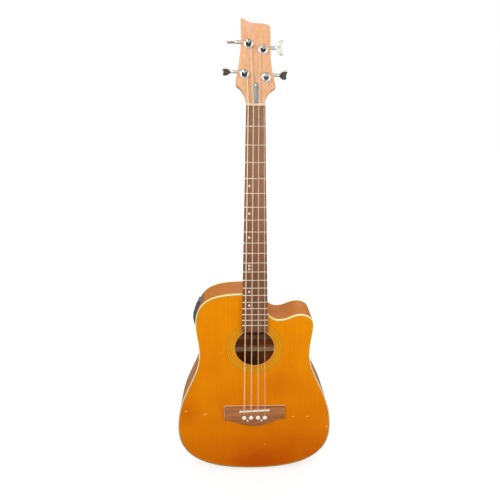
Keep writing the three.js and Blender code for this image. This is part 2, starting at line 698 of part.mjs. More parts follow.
function fretboardShape() {
  const blank = slab([
    new THREE.Vector2(-widthAt(boardZ) / 2, boardZ),
    new THREE.Vector2(widthAt(boardZ) / 2, boardZ),
    new THREE.Vector2(widthAt(nutZ) / 2, nutZ),
    new THREE.Vector2(-widthAt(nutZ) / 2, nutZ),
  ], boardFaceY, boardBackY);
  const frets = [];
  // Frets follow one another down to the end of the board.
  for (let n = 1; fretZ(n) > boardZ + fret.lastMargin; n++) {
    const z = fretZ(n);
    const half = widthAt(z) / 2 - fret.inset;
    const arc = [];
    for (let i = 0; i <= fret.arcSteps; i++) {
      const angle = (Math.PI * i) / fret.arcSteps;
      arc.push(new THREE.Vector2((fret.width / 2) * Math.cos(angle), fret.height * Math.sin(angle)));
    }
    arc.push(new THREE.Vector2(-fret.width / 2, -fret.height / 2));
    arc.push(new THREE.Vector2(fret.width / 2, -fret.height / 2));
    const bar = new THREE.ExtrudeGeometry(new THREE.Shape(arc), { depth: 2 * half, bevelEnabled: false });
    bar.rotateY(Math.PI / 2).rotateX(Math.PI / 2).translate(-half, boardFaceY, z);
    frets.push(solid(bar));
  }
  return join(solid(blank), ...frets);
}

const stringNutY = (index) => boardFaceY - fret.height - nut.action - stringSpec[index].radius;

function nutShape() {
  const topY = boardFaceY - fret.height - nut.action - nut.cover - stringSpec[0].radius;
  const block = box(-neckSize.nutWidth / 2, neckSize.nutWidth / 2, topY, faceY - fit.seat,
    nutZ + fit.glue, nutZ + nut.thickness);
  const slots = stringSpec.map((spec, i) => {
    const half = spec.radius + fit.seat;
    return solid(box(nutX(i) - half, nutX(i) + half, topY - fit.overrun, stringNutY(i) + half,
      nutZ - fit.overrun, nutZ + nut.thickness + fit.overrun));
  });
  return cut(solid(block), ...slots);
}

addPiece('fretboard', fretboardShape(), finish.rosewood);
addPiece('nut', nutShape(), finish.bone);

// The head's own frame: X across, Y into the wood, Z up its face from the nut.
const headOrigin = new THREE.Vector3(0, faceY - headSize.faceLift, nutZ + nut.thickness + fit.seat);
const headTurn = new THREE.Euler(-toRadians(headSize.tiltDegrees), 0, 0);
const headMatrix = new THREE.Matrix4().compose(headOrigin, new THREE.Quaternion().setFromEuler(headTurn),
  new THREE.Vector3(1, 1, 1));
const head = new THREE.Group();
head.position.copy(headOrigin);
head.rotation.copy(headTurn);
guitar.add(head);

// Head outline, right side then left, as shares of the head's length and half of its
// widest part.
const headRightShares = [
  [0.478, 0], [0.49, 0.035], [0.545, 0.08], [0.65, 0.12], [0.81, 0.157], [0.985, 0.187],
  [1, 0.205], [0.92, 0.285], [0.83, 0.385], [0.76, 0.52], [0.745, 0.66], [0.735, 0.875], [0.715, 0.9],
  [0.66, 0.915], [0.53, 0.926], [0.22, 0.936], [-0.1, 0.942], [-0.32, 0.953], [-0.5, 0.972], [-0.67, 0.996],
  [-0.7, 1],
];
const headLeftShares = [
  [-0.712, 0.995], [-0.71, 0.8], [-0.735, 0.64], [-0.79, 0.52], [-0.86, 0.4], [-0.975, 0.29], [-0.995, 0.235],
  [-0.95, 0.21], [-0.81, 0.185], [-0.65, 0.135], [-0.545, 0.085], [-0.49, 0.035], [-0.478, 0],
];
const headOutline = headRightShares.concat(headLeftShares).map(([across, along]) =>
  new THREE.Vector2(across * headSize.half, along * headSize.length));

// Tuning machines: post with worm wheel, worm shaft with its button, plate and ferrule.
// The worm lies above its wheel. Rows give the post's place as shares of half the head's
// width and of its length, and the button's turn at rest in degrees.
const machines = [
  { name: 'e', acrossShare: -0.551, alongShare: 0.349, wormTurn: 80 },
  { name: 'a', acrossShare: -0.345, alongShare: 0.699, wormTurn: 103 },
  { name: 'd', acrossShare: 0.372, alongShare: 0.632, wormTurn: 2 },
  { name: 'g', acrossShare: 0.519, alongShare: 0.3085, wormTurn: 73 },
].map(({ name, acrossShare, alongShare, wormTurn }) => ({
  name,
  wormTurn,
  x: acrossShare * headSize.half,
  z: alongShare * headSize.length,
  side: Math.sign(acrossShare),
}));
const wheel = {
  teeth: 20, module: 0.8, width: 4, rise: 5.2, addendum: 0.8, dedendum: 1,
  tipThickness: 0.5, rootThickness: 1.3,
};
// The thread runs in and out over a few steps, from a low share of its height.
const worm = { pitchRadius: 4, threadTurns: 3, stepsPerTurn: 14, runInSteps: 3, endShare: 0.1, sides: 12 };
const plate = {
  thickness: 1.6, low: 11, aboveWorm: 15, inner: 12, outer: 14.5, earThickness: 2, earHeight: 5.25,
  postBoreSides: 20, shaftBoreSides: 16,
};
const post = {
  shaftRadius: 5.6, waistRadius: 4.4, topRadius: 5.2, baseRise: 3.4, waistRise: 14.5, rise: 20, edge: 0.6,
  slotWidth: 3, slotDepth: 7, sides: 14,
};
const ferrule = { outerRadius: 11, height: 2.8, sleeveRadius: 7.4, sleeveLength: 8, sides: 18 };
const shaft = { radius: 2, innerReach: 8.5, stemRadius: 3.6, stemTip: 3, stemStart: 10.5, stemEnd: 31, collarRadius: 4.2 };
const button = { length: 21, halfSpan: 17, thickness: 3, bevel: 0.7, end: 51.3 };

const wheelPitch = (wheel.teeth * wheel.module) / 2;
const wormDrop = wheelPitch + worm.pitchRadius;
const lead = Math.PI * wheel.module;
const threadReach = (worm.threadTurns * lead + wheel.rootThickness) / 2;
const plateY = headSize.thickness + fit.seat;
const gearY = plateY + plate.thickness + wheel.rise;

function wheelShape() {
  const tip = wheelPitch + wheel.addendum;
  const root = wheelPitch - wheel.dedendum;
  const points = [];
  for (let tooth = 0; tooth < wheel.teeth; tooth++) {
    // A gap, not a tooth, points at the worm, whose thread fills it.
    const centre = ((tooth + 0.5) * 2 * Math.PI) / wheel.teeth + Math.PI / 2;
    const rootHalf = wheel.rootThickness / 2 / root;
    const tipHalf = wheel.tipThickness / 2 / tip;
    [[root, -rootHalf], [tip, -tipHalf], [tip, tipHalf], [root, rootHalf]].forEach(([radius, offset]) => {
      points.push(new THREE.Vector2(radius * Math.cos(centre + offset), radius * Math.sin(centre + offset)));
    });
  }
  const geometry = slab(points, gearY - wheel.width / 2, gearY + wheel.width / 2);
  // Teeth lean by the worm's lead angle across the wheel's width.
  const places = geometry.attributes.position;
  const lean = lead / (2 * Math.PI * worm.pitchRadius) / wheelPitch;
  const spot = new THREE.Vector3();
  for (let i = 0; i < places.count; i++) {
    spot.fromBufferAttribute(places, i);
    spot.applyAxisAngle(acrossY, lean * (spot.y - gearY));
    places.setXYZ(i, spot.x, spot.y, spot.z);
  }
  return geometry;
}

function postShape() {
  const turnedPost = turned([
    [0, -post.rise],
    [post.topRadius - fit.seat, -post.rise],
    [post.topRadius, -post.rise + post.edge],
    [post.topRadius, -post.waistRise - post.edge],
    [post.waistRadius, -post.waistRise],
    [post.waistRadius, -post.baseRise],
    [post.shaftRadius, -post.baseRise + fit.seat],
    [post.shaftRadius, gearY - wheel.width / 2 - post.edge],
    [post.waistRadius, gearY - wheel.width / 2 - post.edge],
    [post.waistRadius, gearY + wheel.width / 2 + plate.thickness],
    [0, gearY + wheel.width / 2 + plate.thickness],
  ], acrossY, new THREE.Vector3(), post.sides);
  const slot = box(-post.slotWidth / 2, post.slotWidth / 2,
    -post.rise - fit.overrun, -post.rise + post.slotDepth,
    -post.topRadius - fit.overrun, post.topRadius + fit.overrun);
  return cut(join(solid(turnedPost), solid(wheelShape())), solid(slot));
}

// The worm's thread: one ridge along a helix, sunk a little into the core.
function threadShape() {
  const root = worm.pitchRadius - wheel.dedendum;
  const tip = worm.pitchRadius + wheel.addendum;
  const sunk = root - fit.seat;
  const steps = Math.round(worm.threadTurns * worm.stepsPerTurn);
  const start = -(worm.threadTurns * lead) / 2;
  const rings = [];
  for (let i = 0; i <= steps; i++) {
    const turnCount = i / worm.stepsPerTurn;
    const angle = 2 * Math.PI * (turnCount - worm.threadTurns / 2);
    const along = start + turnCount * lead;
    const ends = Math.min(1, Math.min(i, steps - i) / worm.runInSteps);
    const crest = sunk + (tip - sunk) * Math.max(ends, worm.endShare);
    const across = (radius, offset) => new THREE.Vector3(
      along + offset, radius * Math.sin(angle), -radius * Math.cos(angle));
    rings.push([
      across(sunk, -wheel.rootThickness / 2), across(crest, -wheel.tipThickness / 2),
      across(crest, wheel.tipThickness / 2), across(sunk, wheel.rootThickness / 2),
    ]);
  }
  return loft(rings);
}

function buttonShape() {
  // Two lobes with a hollow outer edge, as shares of the button's length and half span.
  const edgeShares = [
    [0, 0.13], [0.16, 0.15], [0.34, 0.26], [0.5, 0.5], [0.62, 0.78], [0.74, 0.95], [0.88, 1], [0.98, 0.93],
    [1, 0.78], [0.96, 0.6], [0.93, 0.4], [0.91, 0.2], [0.905, 0],
  ];
  const upper = edgeShares.map(([along, across]) =>
    new THREE.Vector2(button.end - button.length + along * button.length, across * button.halfSpan));
  const lower = upper.slice(0, -1).reverse().map((p) => new THREE.Vector2(p.x, -p.y));
  const geometry = new THREE.ExtrudeGeometry(new THREE.Shape(upper.concat(lower)), {
    depth: button.thickness - 2 * button.bevel, bevelEnabled: true, bevelSegments: 1,
    bevelSize: button.bevel, bevelOffset: -button.bevel, bevelThickness: button.bevel,
  });
  return geometry.translate(0, 0, -button.thickness / 2 + button.bevel).rotateX(Math.PI / 2);
}

function wormShape(wormTurn) {
  const core = worm.pitchRadius - wheel.dedendum;
  const spindle = turned([
    [0, -shaft.innerReach],
    [shaft.radius, -shaft.innerReach],
    [shaft.radius, -threadReach],
    [core, -threadReach],
    [core, threadReach],
    [shaft.radius, threadReach],
    [shaft.radius, shaft.stemStart - fit.seat],
    [shaft.collarRadius, shaft.stemStart - fit.seat],
    [shaft.collarRadius, shaft.stemStart + plate.earThickness],
    [shaft.stemRadius, shaft.stemStart + 2 * plate.earThickness],
    [shaft.stemTip, shaft.stemEnd],
    [shaft.radius, shaft.stemEnd + plate.earThickness],
    [0, shaft.stemEnd + plate.earThickness],
  ], sideX, new THREE.Vector3(), worm.sides);
  const handle = buttonShape().rotateX(toRadians(wormTurn));
  return join(solid(spindle), solid(threadShape()), solid(handle));
}

const earGap = threadReach + fit.loose;

function plateShape() {
  const wormAxis = new THREE.Vector3(0, gearY, wormDrop);
  const sheet = solid(box(-plate.inner, plate.outer, plateY, plateY + plate.thickness,
    -plate.low, wormDrop + plate.aboveWorm));
  const ear = (from, to) => solid(box(from, to, plateY, gearY + plate.earHeight,
    wormDrop - worm.pitchRadius, wormDrop + worm.pitchRadius));
  const postHole = solid(rod(post.shaftRadius + fit.seat, 0, gearY + fit.overrun, acrossY,
    new THREE.Vector3(), plate.postBoreSides));
  const wormSpace = solid(rod(worm.pitchRadius + wheel.addendum + fit.loose, -earGap, earGap, sideX,
    wormAxis, plate.shaftBoreSides));
  const shaftHole = solid(rod(shaft.radius + fit.loose, -plate.inner - fit.overrun, plate.outer + fit.overrun,
    sideX, wormAxis, plate.shaftBoreSides));
  const ears = join(ear(-earGap - plate.earThickness, -earGap), ear(earGap, earGap + plate.earThickness));
  return cut(join(sheet, ears), postHole, wormSpace, shaftHole);
}

function ferruleShape() {
  const inner = post.shaftRadius + fit.seat;
  return turned([
    [inner, -ferrule.height],
    [ferrule.outerRadius - ferrule.height / 2, -ferrule.height],
    [ferrule.outerRadius, -ferrule.height / 3],
    [ferrule.outerRadius, -fit.seat],
    [ferrule.sleeveRadius, -fit.seat],
    [ferrule.sleeveRadius, ferrule.sleeveLength],
    [inner, ferrule.sleeveLength],
    [inner, -ferrule.height],
  ], acrossY, new THREE.Vector3(), ferrule.sides);
}

const sided = (shape, side) => {
  const geometry = shape.isBufferGeometry ? shape : geometryOf(shape);
  return side < 0 ? mirrored(geometry) : geometry;
};

machines.forEach((machine) => {
  const { name, x, z, side, wormTurn } = machine;
  const unit = new THREE.Group();
  unit.position.set(x, 0, z);
  head.add(unit);
  addPiece(`tuner_plate_${name}`, sided(plateShape(), side), finish.chrome, unit);
  addPiece(`string_post_${name}`, sided(postShape(), side), finish.chrome, unit);
  addPiece(`ferrule_${name}`, sided(ferruleShape(), side), finish.chrome, unit);
  const shaftMesh = addPiece(`tuning_button_${name}`, sided(wormShape(wormTurn), side), finish.chrome, unit);
  shaftMesh.position.set(0, gearY, wormDrop);
});

// Neck with its heel and head

const neck = {
  heelDepth: 98, capLength: 25, heelLength: 72, heelSweep: 2.2, roundness: 2.3, squareness: 7, squareRun: 30,
  ringPoints: 12, shaftRings: 4, headRings: 4,
};
const neckStartZ = topZ + fit.seat;
const heelEndZ = neckStartZ + neck.capLength + neck.heelLength;
const headJoinZ = headOrigin.z;

function neckDepth(z) {
  const along = (z - heelEndZ) / (nutZ - heelEndZ);
  const shaftDepth = THREE.MathUtils.lerp(neckSize.heelEndDepth, neckSize.nutDepth,
    THREE.MathUtils.clamp(along, 0, 1));
  const climb = THREE.MathUtils.clamp((z - neckStartZ - neck.capLength) / neck.heelLength, 0, 1);
  return shaftDepth + (neck.heelDepth + fit.overrun - shaftDepth) * (1 - climb) ** neck.heelSweep;
}

function neckRing(z) {
  const square = THREE.MathUtils.smoothstep(z, nutZ - neck.squareRun, headJoinZ);
  const power = neck.roundness + (neck.squareness - neck.roundness) * square;
  const ring = [];
  const half = Math.min(widthAt(z), widthAt(neckStartZ)) / 2;
  for (let i = 0; i <= neck.ringPoints; i++) {
    const angle = (Math.PI * i) / neck.ringPoints;
    const across = Math.sign(Math.cos(angle)) * Math.abs(Math.cos(angle)) ** (2 / power);
    const deep = Math.sin(angle) ** (2 / power);
    ring.push(new THREE.Vector3(half * across, faceY + deep * neckDepth(z), z));
  }
  return ring;
}

const ringHeightShares = [0, 0.06, 0.13, 0.21, 0.31, 0.43, 0.58, 0.77, 1];

function neckShape() {
  const heights = [neckStartZ].concat(ringHeightShares.map((share) =>
    neckStartZ + neck.capLength + share * neck.heelLength));
  const squareZ = nutZ - neck.squareRun;
  for (let i = 1; i <= neck.shaftRings; i++) {
    heights.push(heelEndZ + ((squareZ - heelEndZ) * i) / neck.shaftRings);
  }
  for (let i = 1; i <= neck.headRings; i++) {
    heights.push(squareZ + ((headJoinZ + fit.seat - squareZ) * i) / neck.headRings);
  }
  const shaftSolid = solid(loft(heights.map(neckRing)));
  const headSlab = slab(headOutline, 0, headSize.thickness).applyMatrix4(headMatrix);
  const heelCut = solid(box(-body.lowerHalf, body.lowerHalf, faceY + neck.heelDepth, faceY + body.tailDepth,
    topZ - fit.overrun, nutZ));
  return cut(join(shaftSolid, solid(headSlab)), heelCut, ...neckCuts());
}

// Truss rod in its channel, its adjusting nut in a pocket, and the cover over it

const rodSize = { halfWidth: 3, height: 8.5, sink: 3, start: 14 };
const rodNut = { radius: 4, length: 12, start: 9, sides: 6 };
const cover = { halfWidth: 5.9, start: 4.2, length: 43, thickness: 1.8, shift: 0.6, arcSteps: 6 };
const pocket = { halfWidth: 5, length: 30, before: 3 };
const rodY = faceY + fit.seat + rodSize.sink + rodSize.height / 2;

function neckCuts() {
  const channel = solid(box(-rodSize.halfWidth - fit.seat, rodSize.halfWidth + fit.seat, faceY - fit.overrun,
    rodY + rodSize.height / 2 + fit.seat, neckStartZ + rodSize.start - fit.seat, nutZ + rodNut.start));
  const well = solid(box(-pocket.halfWidth, pocket.halfWidth, faceY - fit.overrun - headSize.faceLift,
    rodY + pocket.halfWidth, nutZ + rodNut.start - pocket.before, nutZ + rodNut.start + pocket.length));
  const postHoles = machines.map(({ x, z }) => solid(rod(ferrule.sleeveRadius + fit.seat, -fit.overrun,
    headSize.thickness + fit.overrun, acrossY, new THREE.Vector3(x, 0, z), ferrule.sides)
    .applyMatrix4(headMatrix)));
  const heelY = faceY + neck.heelDepth;
  const buttonHole = solid(rod(strapButton.shankRadius + fit.seat, heelY - strapButton.shank - fit.seat,
    heelY + fit.overrun, acrossY, new THREE.Vector3(0, 0, strapButtonZ), strapButton.boreSides));
  return [channel, well, ...postHoles, buttonHole];
}

const strapButton = {
  stand: 12, headRadius: 7.5, neckRadius: 4, baseRadius: 7.5, rim: 3, rimEdge: 1, shankRadius: 2, shank: 16,
  above: 13, sides: 16, boreSides: 12,
};
const strapButtonZ = neckStartZ + strapButton.above;

function strapButtonShape() {
  const heelY = faceY + neck.heelDepth;
  const { stand, headRadius, neckRadius, baseRadius, rim, rimEdge, shankRadius, shank } = strapButton;
  return turned([
    [0, heelY - shank], [shankRadius, heelY - shank], [shankRadius, heelY + fit.seat],
    [baseRadius, heelY + fit.seat], [baseRadius, heelY + fit.seat + rimEdge], [neckRadius, heelY + rim],
    [neckRadius, heelY + stand - rim], [headRadius, heelY + stand - rim / 2], [headRadius, heelY + stand],
    [0, heelY + stand],
  ], acrossY, new THREE.Vector3(0, 0, strapButtonZ), strapButton.sides);
}

addPiece('neck', neckShape(), finish.neckWood);
addPiece('strap_button', strapButtonShape(), finish.chrome);
addPiece('truss_rod', box(-rodSize.halfWidth, rodSize.halfWidth,
  rodY - rodSize.height / 2, rodY + rodSize.height / 2,
  neckStartZ + rodSize.start, nutZ + rodNut.start - fit.seat), finish.steel);
addPiece('truss_rod_nut', rod(rodNut.radius, nutZ + rodNut.start, nutZ + rodNut.start + rodNut.length, upZ,
  new THREE.Vector3(0, rodY, 0), rodNut.sides), finish.steel);

function coverShape() {
  const shape = new THREE.Shape();
  const { halfWidth, start, length, shift } = cover;
  shape.moveTo(shift - halfWidth, start);
  shape.lineTo(shift + halfWidth, start);
  shape.lineTo(shift + halfWidth, start + length - halfWidth);
  shape.absarc(shift, start + length - halfWidth, halfWidth, 0, Math.PI, false);
  return slab(shape.getPoints(cover.arcSteps), -fit.seat - cover.thickness, -fit.seat);
}
addPiece('truss_rod_cover', coverShape(), finish.coverMetal, head);

// Strings: ball end under the bridge plate, up through the bridge, over the saddle and
// the nut, then round the post. The post turns inside the wraps.

const wrap = { turns: 2.04, stepsPerTurn: 24, gap: 0.5, sides: 6 };

function stringRoute(index) {
  const spec = stringSpec[index];
  const machine = machines[index];
  const x = saddleX(index);
  const wellZ = pinZ + slotOffset(spec);
  const plateBackY = topInnerY + fit.glue + bridgePlate.thickness + fit.glue;
  const points = [
    new THREE.Vector3(x, plateBackY + fit.seat + ball.length, wellZ),
    new THREE.Vector3(x, plateBackY, wellZ),
    new THREE.Vector3(x, bridgeFaceY + bridge.rampDepth + 2 * spec.radius, wellZ),
  ];
  const crestZ = saddleLineZ(x);
  const bendStart = new THREE.Vector3(x, bridgeFaceY + bridge.rampDepth, wellZ + spec.radius);
  points.push(bendStart);
  points.push(new THREE.Vector3(x, stringSaddleY(index) + spec.radius / 2, crestZ - saddle.width));
  points.push(new THREE.Vector3(x, stringSaddleY(index), crestZ));
  const atNut = new THREE.Vector3(nutX(index), stringNutY(index), nutZ + nut.thickness + spec.radius);
  points.push(points[points.length - 1].clone().lerp(atNut, 0.5));
  points.push(atNut);
  // Round the post, from the tangent on the head's inner side, climbing towards the post's top.
  const coil = post.waistRadius + fit.seat + spec.radius;
  const inward = -machine.side;
  const pitch = 2 * spec.radius + wrap.gap;
  const firstY = -post.baseRise - fit.seat - spec.radius;
  const toRow = (px, py, pz) => new THREE.Vector3(px, py, pz).applyMatrix4(headMatrix);
  const steps = Math.round(wrap.turns * wrap.stepsPerTurn);
  for (let i = 0; i <= steps; i++) {
    const angle = (2 * Math.PI * i) / wrap.stepsPerTurn;
    points.push(toRow(machine.x + inward * coil * Math.cos(angle), firstY - (pitch * i) / wrap.stepsPerTurn,
      machine.z + coil * Math.sin(angle)));
  }
  return { points, pitch, steps };
}

function leastSelfGap({ points, steps }, radius) {
  const coilPoints = points.slice(-steps - 1);
  let least = Infinity;
  for (let i = 0; i < coilPoints.length; i++) {
    for (let j = i + wrap.stepsPerTurn / 2; j < coilPoints.length; j++) {
      least = Math.min(least, coilPoints[i].distanceTo(coilPoints[j]) - 2 * radius);
    }
  }
  return least;
}

stringSpec.forEach((spec, i) => {
  const route = stringRoute(i);
  const gap = leastSelfGap(route, spec.radius).toFixed(2);
  console.log(`string ${spec.name}: least gap between wraps ${gap} mm`);
  const wire = solid(tube(route.points, spec.radius, wrap.sides));
  const ballY = route.points[0].y - ball.length;
  const ballZ = pinZ + pin.shankRadius + fit.loose + ball.radius;
  const ballEnd = solid(rod(ball.radius, ballY, ballY + ball.length, acrossY,
    new THREE.Vector3(route.points[0].x, 0, ballZ), ball.sides));
  addPiece(`string_${spec.name}`, join(wire, ballEnd), finish.bronze);
});

export default guitar;
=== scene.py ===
import math

import bmesh
import bpy
from mathutils import Matrix, Vector


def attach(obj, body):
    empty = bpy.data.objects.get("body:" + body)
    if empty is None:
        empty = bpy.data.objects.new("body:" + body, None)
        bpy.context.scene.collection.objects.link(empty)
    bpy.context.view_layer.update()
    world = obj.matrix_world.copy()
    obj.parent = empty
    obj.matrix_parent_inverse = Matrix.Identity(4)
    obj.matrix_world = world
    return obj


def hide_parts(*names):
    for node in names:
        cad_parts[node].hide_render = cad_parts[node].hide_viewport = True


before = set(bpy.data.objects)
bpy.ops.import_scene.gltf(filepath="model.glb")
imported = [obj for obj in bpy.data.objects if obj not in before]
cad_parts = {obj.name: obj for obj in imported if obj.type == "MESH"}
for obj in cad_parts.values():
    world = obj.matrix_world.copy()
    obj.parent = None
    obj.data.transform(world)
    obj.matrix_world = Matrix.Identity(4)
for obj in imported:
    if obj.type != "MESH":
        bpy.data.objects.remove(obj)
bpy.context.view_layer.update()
print("scene: the packed model is loaded")

mm = 0.001
quarterTurn = math.radians(90)
alongY = Matrix.Rotation(-quarterTurn, 4, "X")     # stands a turned piece along +Y
alongX = Matrix.Rotation(quarterTurn, 4, "Y")      # and along +X

# sizes and places that several pieces share, in millimetres
tailZ, topZ, faceY, bodyDepth, backSlope = 12.0, 562.2, -59.0, 118.0, 0.0254453
saddleZ, nutZ, scaleLength, holeZ, boardZ = 219.976, 1032.776, 812.8, 405.723, 455.523
boardFaceY, bridgeFaceY, pinZ, strapZ, seatGap, glueGap = -65.6, -67.7, 190.576, 575.5, 0.3, 0.1
saddleSpread, nutSpread, nutShift, nutAction = 19.5, 12.15, 0.9, 1.6
headTilt, headZ = math.radians(12), nutZ + 5.3
stringNames = "eadg"
stringRadius = {"e": 1.335, "a": 1.08, "d": 0.825, "g": 0.57}


# working helpers

def shift(x, y, z):
    return Matrix.Translation(Vector((x, y, z)) * mm)


headMatrix = shift(0, faceY - 1, headZ) @ Matrix.Rotation(-headTilt, 4, "X")


def between(first, second, share):
    return first + (second - first) * share


def across(key, spread):
    # how far a string lies from the middle
    return (stringNames.index(key) - 1.5) * spread


def activate(obj):
    bpy.ops.object.select_all(action="DESELECT")
    obj.select_set(True)
    bpy.context.view_layer.objects.active = obj


def startEdit(obj):
    activate(obj)
    bpy.ops.object.mode_set(mode="EDIT")
    bpy.ops.mesh.select_all(action="SELECT")


def endEdit():
    bpy.ops.object.mode_set(mode="OBJECT")


def pick(kind, test):
    # selects the faces, the edges (by their two ends) or the points that pass the test
    bpy.ops.mesh.select_mode(type=kind)
    bpy.ops.mesh.select_all(action="DESELECT")
    data = bpy.context.edit_object.data
    shape = bmesh.from_edit_mesh(data)
    for item in {"FACE": shape.faces, "EDGE": shape.edges, "VERT": shape.verts}[kind]:
        if test(*[end.co for end in item.verts] if kind == "EDGE" else [item]):
            item.select_set(True)
    bmesh.update_edit_mesh(data)


def extrudeBy(x, y, z):
    bpy.ops.mesh.extrude_region_move(TRANSFORM_OT_translate={"value": (x * mm, y * mm, z * mm)})


def turnOutwards():
    bpy.ops.mesh.select_all(action="SELECT")
    bpy.ops.mesh.normals_make_consistent(inside=False)


def closeUp(obj):
    startEdit(obj)
    bpy.ops.mesh.remove_doubles(threshold=0.002 * mm)
    turnOutwards()
    endEdit()
    return obj


def copyOf(obj):
    activate(obj)
    bpy.ops.object.duplicate(linked=False)
    return bpy.context.object


def drop(obj):
    bpy.data.objects.remove(obj, do_unlink=True)


def putAt(obj, matrix):
    activate(obj)
    obj.matrix_world = matrix @ obj.matrix_world
    bpy.ops.object.transform_apply(location=True, rotation=True, scale=True)
    return closeUp(obj) if matrix.determinant() < 0 else obj


def applyModifier(obj, kind, **values):
    modifier = obj.modifiers.new(kind, kind)
    for name, value in values.items():
        setattr(modifier, name, value)
    activate(obj)
    bpy.ops.object.modifier_apply(modifier=modifier.name)
    return obj


def roundEdges(obj, width, segments=2, angle=35):
    applyModifier(obj, "BEVEL", width=width * mm, segments=segments, limit_method="ANGLE",
                  angle_limit=math.radians(angle))


def bevelEdges(obj, test, width, segments):
    startEdit(obj)
    pick("EDGE", test)
    bpy.ops.mesh.bevel(offset=width * mm, segments=segments, affect="EDGES")
    endEdit()


def combine(obj, tool, how="DIFFERENCE"):
    applyModifier(obj, "BOOLEAN", operation=how, solver="EXACT", object=tool)
    drop(tool)


def joinAll(pieces):
    activate(pieces[0])
    for other in pieces[1:]:
        other.select_set(True)
    bpy.ops.object.join()
    return pieces[0]


def addBlock(low, high):
    low, high = Vector(low) * mm, Vector(high) * mm
    bpy.ops.object.select_all(action="DESELECT")
    bpy.ops.mesh.primitive_cube_add(size=1, location=(low + high) / 2)
    bpy.context.object.scale = high - low
    bpy.ops.object.transform_apply(location=True, rotation=True, scale=True)
    return bpy.context.object


def addRod(radius, low, high, sides=32, matrix=Matrix()):
    # a plain round bar along Z, used as a cutter or to start a piece
    bpy.ops.object.select_all(action="DESELECT")
    bpy.ops.mesh.primitive_cylinder_add(vertices=sides, radius=radius * mm, depth=(high - low) * mm,
                                        location=(0, 0, (low + high) / 2 * mm))
    bpy.ops.object.transform_apply(location=True, rotation=True, scale=True)
    return putAt(bpy.context.object, matrix)


def turnProfile(rows, steps=36, matrix=None):
    # rows of (radius, height) drawn point by point, then spun round Z
    bpy.ops.object.select_all(action="DESELECT")
    bpy.ops.mesh.primitive_plane_add(size=mm)
    turned = bpy.context.object
    startEdit(turned)
    bpy.ops.mesh.select_mode(type="VERT")
    bpy.ops.mesh.merge(type="CENTER")
    bpy.ops.transform.translate(value=(rows[0][0] * mm, 0, rows[0][1] * mm))
    for before, after in zip(rows, rows[1:]):
        extrudeBy(after[0] - before[0], 0, after[1] - before[1])
    bpy.ops.mesh.select_all(action="SELECT")
    bpy.ops.mesh.spin(steps=steps, angle=2 * math.pi, center=(0, 0, 0), axis=(0, 0, 1))
    endEdit()
    closeUp(turned)
    return putAt(turned, matrix) if matrix else turned


def addOutline(knots, steps):
    # knots are (x, z, kind) or (x, z, left handle, right handle), closed and filled
    bpy.ops.object.select_all(action="DESELECT")
    bpy.ops.curve.primitive_bezier_curve_add(location=(0, 0, 0))
    curve = bpy.context.object.data
    curve.dimensions = "3D"
    curve.resolution_u = steps
    spline = curve.splines[0]
    spline.bezier_points.add(len(knots) - len(spline.bezier_points))
    spline.use_cyclic_u = True
    for point, knot in zip(spline.bezier_points, knots):
        point.co = (knot[0] * mm, 0, knot[1] * mm)
        kind = knot[2] if len(knot) == 3 else "FREE"
        point.handle_left_type = point.handle_right_type = kind
        if kind == "FREE":
            point.handle_left = (knot[2][0] * mm, 0, knot[2][1] * mm)
            point.handle_right = (knot[3][0] * mm, 0, knot[3][1] * mm)
    bpy.ops.object.convert(target="MESH")
    flat = bpy.context.object
    startEdit(flat)
    bpy.ops.mesh.remove_doubles(threshold=0.01 * mm)
    bpy.ops.mesh.select_all(action="SELECT")
    bpy.ops.mesh.edge_face_add()
    endEdit()
    return flat


def thicken(flat, fromY, toY):
    startEdit(flat)
    bpy.ops.transform.translate(value=(0, fromY * mm, 0))
    extrudeBy(0, toY - fromY, 0)
    turnOutwards()
    endEdit()
    return flat


def openSmaller(flat, margin):
    # opens a copy of an outline for editing, drawn in by a margin
    copy = copyOf(flat)
    startEdit(copy)
    bpy.ops.mesh.select_mode(type="FACE")
    if margin:
        bpy.ops.mesh.inset(thickness=margin * mm, use_even_offset=True)
        bpy.ops.mesh.select_all(action="INVERT")
        bpy.ops.mesh.delete(type="FACE")
        bpy.ops.mesh.select_all(action="SELECT")
    return copy


def plateOf(flat, margin, fromY, toY):
    plate = openSmaller(flat, margin)
    endEdit()
    return thicken(plate, fromY, toY)


def ringOf(flat, outer, inner, fromY, toY):
    # a band that follows an outline, between two distances inside it
    ring = openSmaller(flat, outer)
    bpy.ops.mesh.inset(thickness=(inner - outer) * mm, use_even_offset=True)
    bpy.ops.mesh.delete(type="FACE")
    endEdit()
    return thicken(ring, fromY, toY)


def followBack(obj):
    # the back tapers towards the neck
    for point in obj.data.vertices:
        if point.co.y > 0:
            point.co.y -= backSlope * (point.co.z - tailZ * mm)


def cutPlane(obj, planeAt, facing, fill=True, keepInner=True):
    startEdit(obj)
    bpy.ops.mesh.bisect(plane_co=planeAt, plane_no=facing, use_fill=fill,
                        clear_outer=keepInner, clear_inner=not keepInner)
    endEdit()


def dress(obj, name, look, stands=(), body="guitar", smooth=35):
    activate(obj)
    bpy.ops.object.transform_apply(location=True, rotation=True, scale=True)
    obj.name = name
    obj.data.name = name
    bpy.ops.object.shade_smooth_by_angle(angle=math.radians(smooth))
    obj.data.materials.clear()
    obj.data.materials.append(looks[look])
    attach(obj, body)
    if stands:
        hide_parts(*stands)


def dressCopies(master, name, look, matrixOf, node=None, body=None, smooth=35):
    # one copy of a piece for each string
    for key in stringNames:
        dress(putAt(copyOf(master), matrixOf(key)), f"{name}_{key}", look,
              [f"{node}_{key}"] if node else (), f"{body}_{key}" if body else "guitar", smooth)
    drop(master)


# camera, lights, floor

cameraSettings = {"location": (-0.0427, -1.1378, 0.9906), "turn": (90 - 15.898, -0.041, -1.57), "lens": 31.68,
                  "sensor": 36, "near": 0.01}


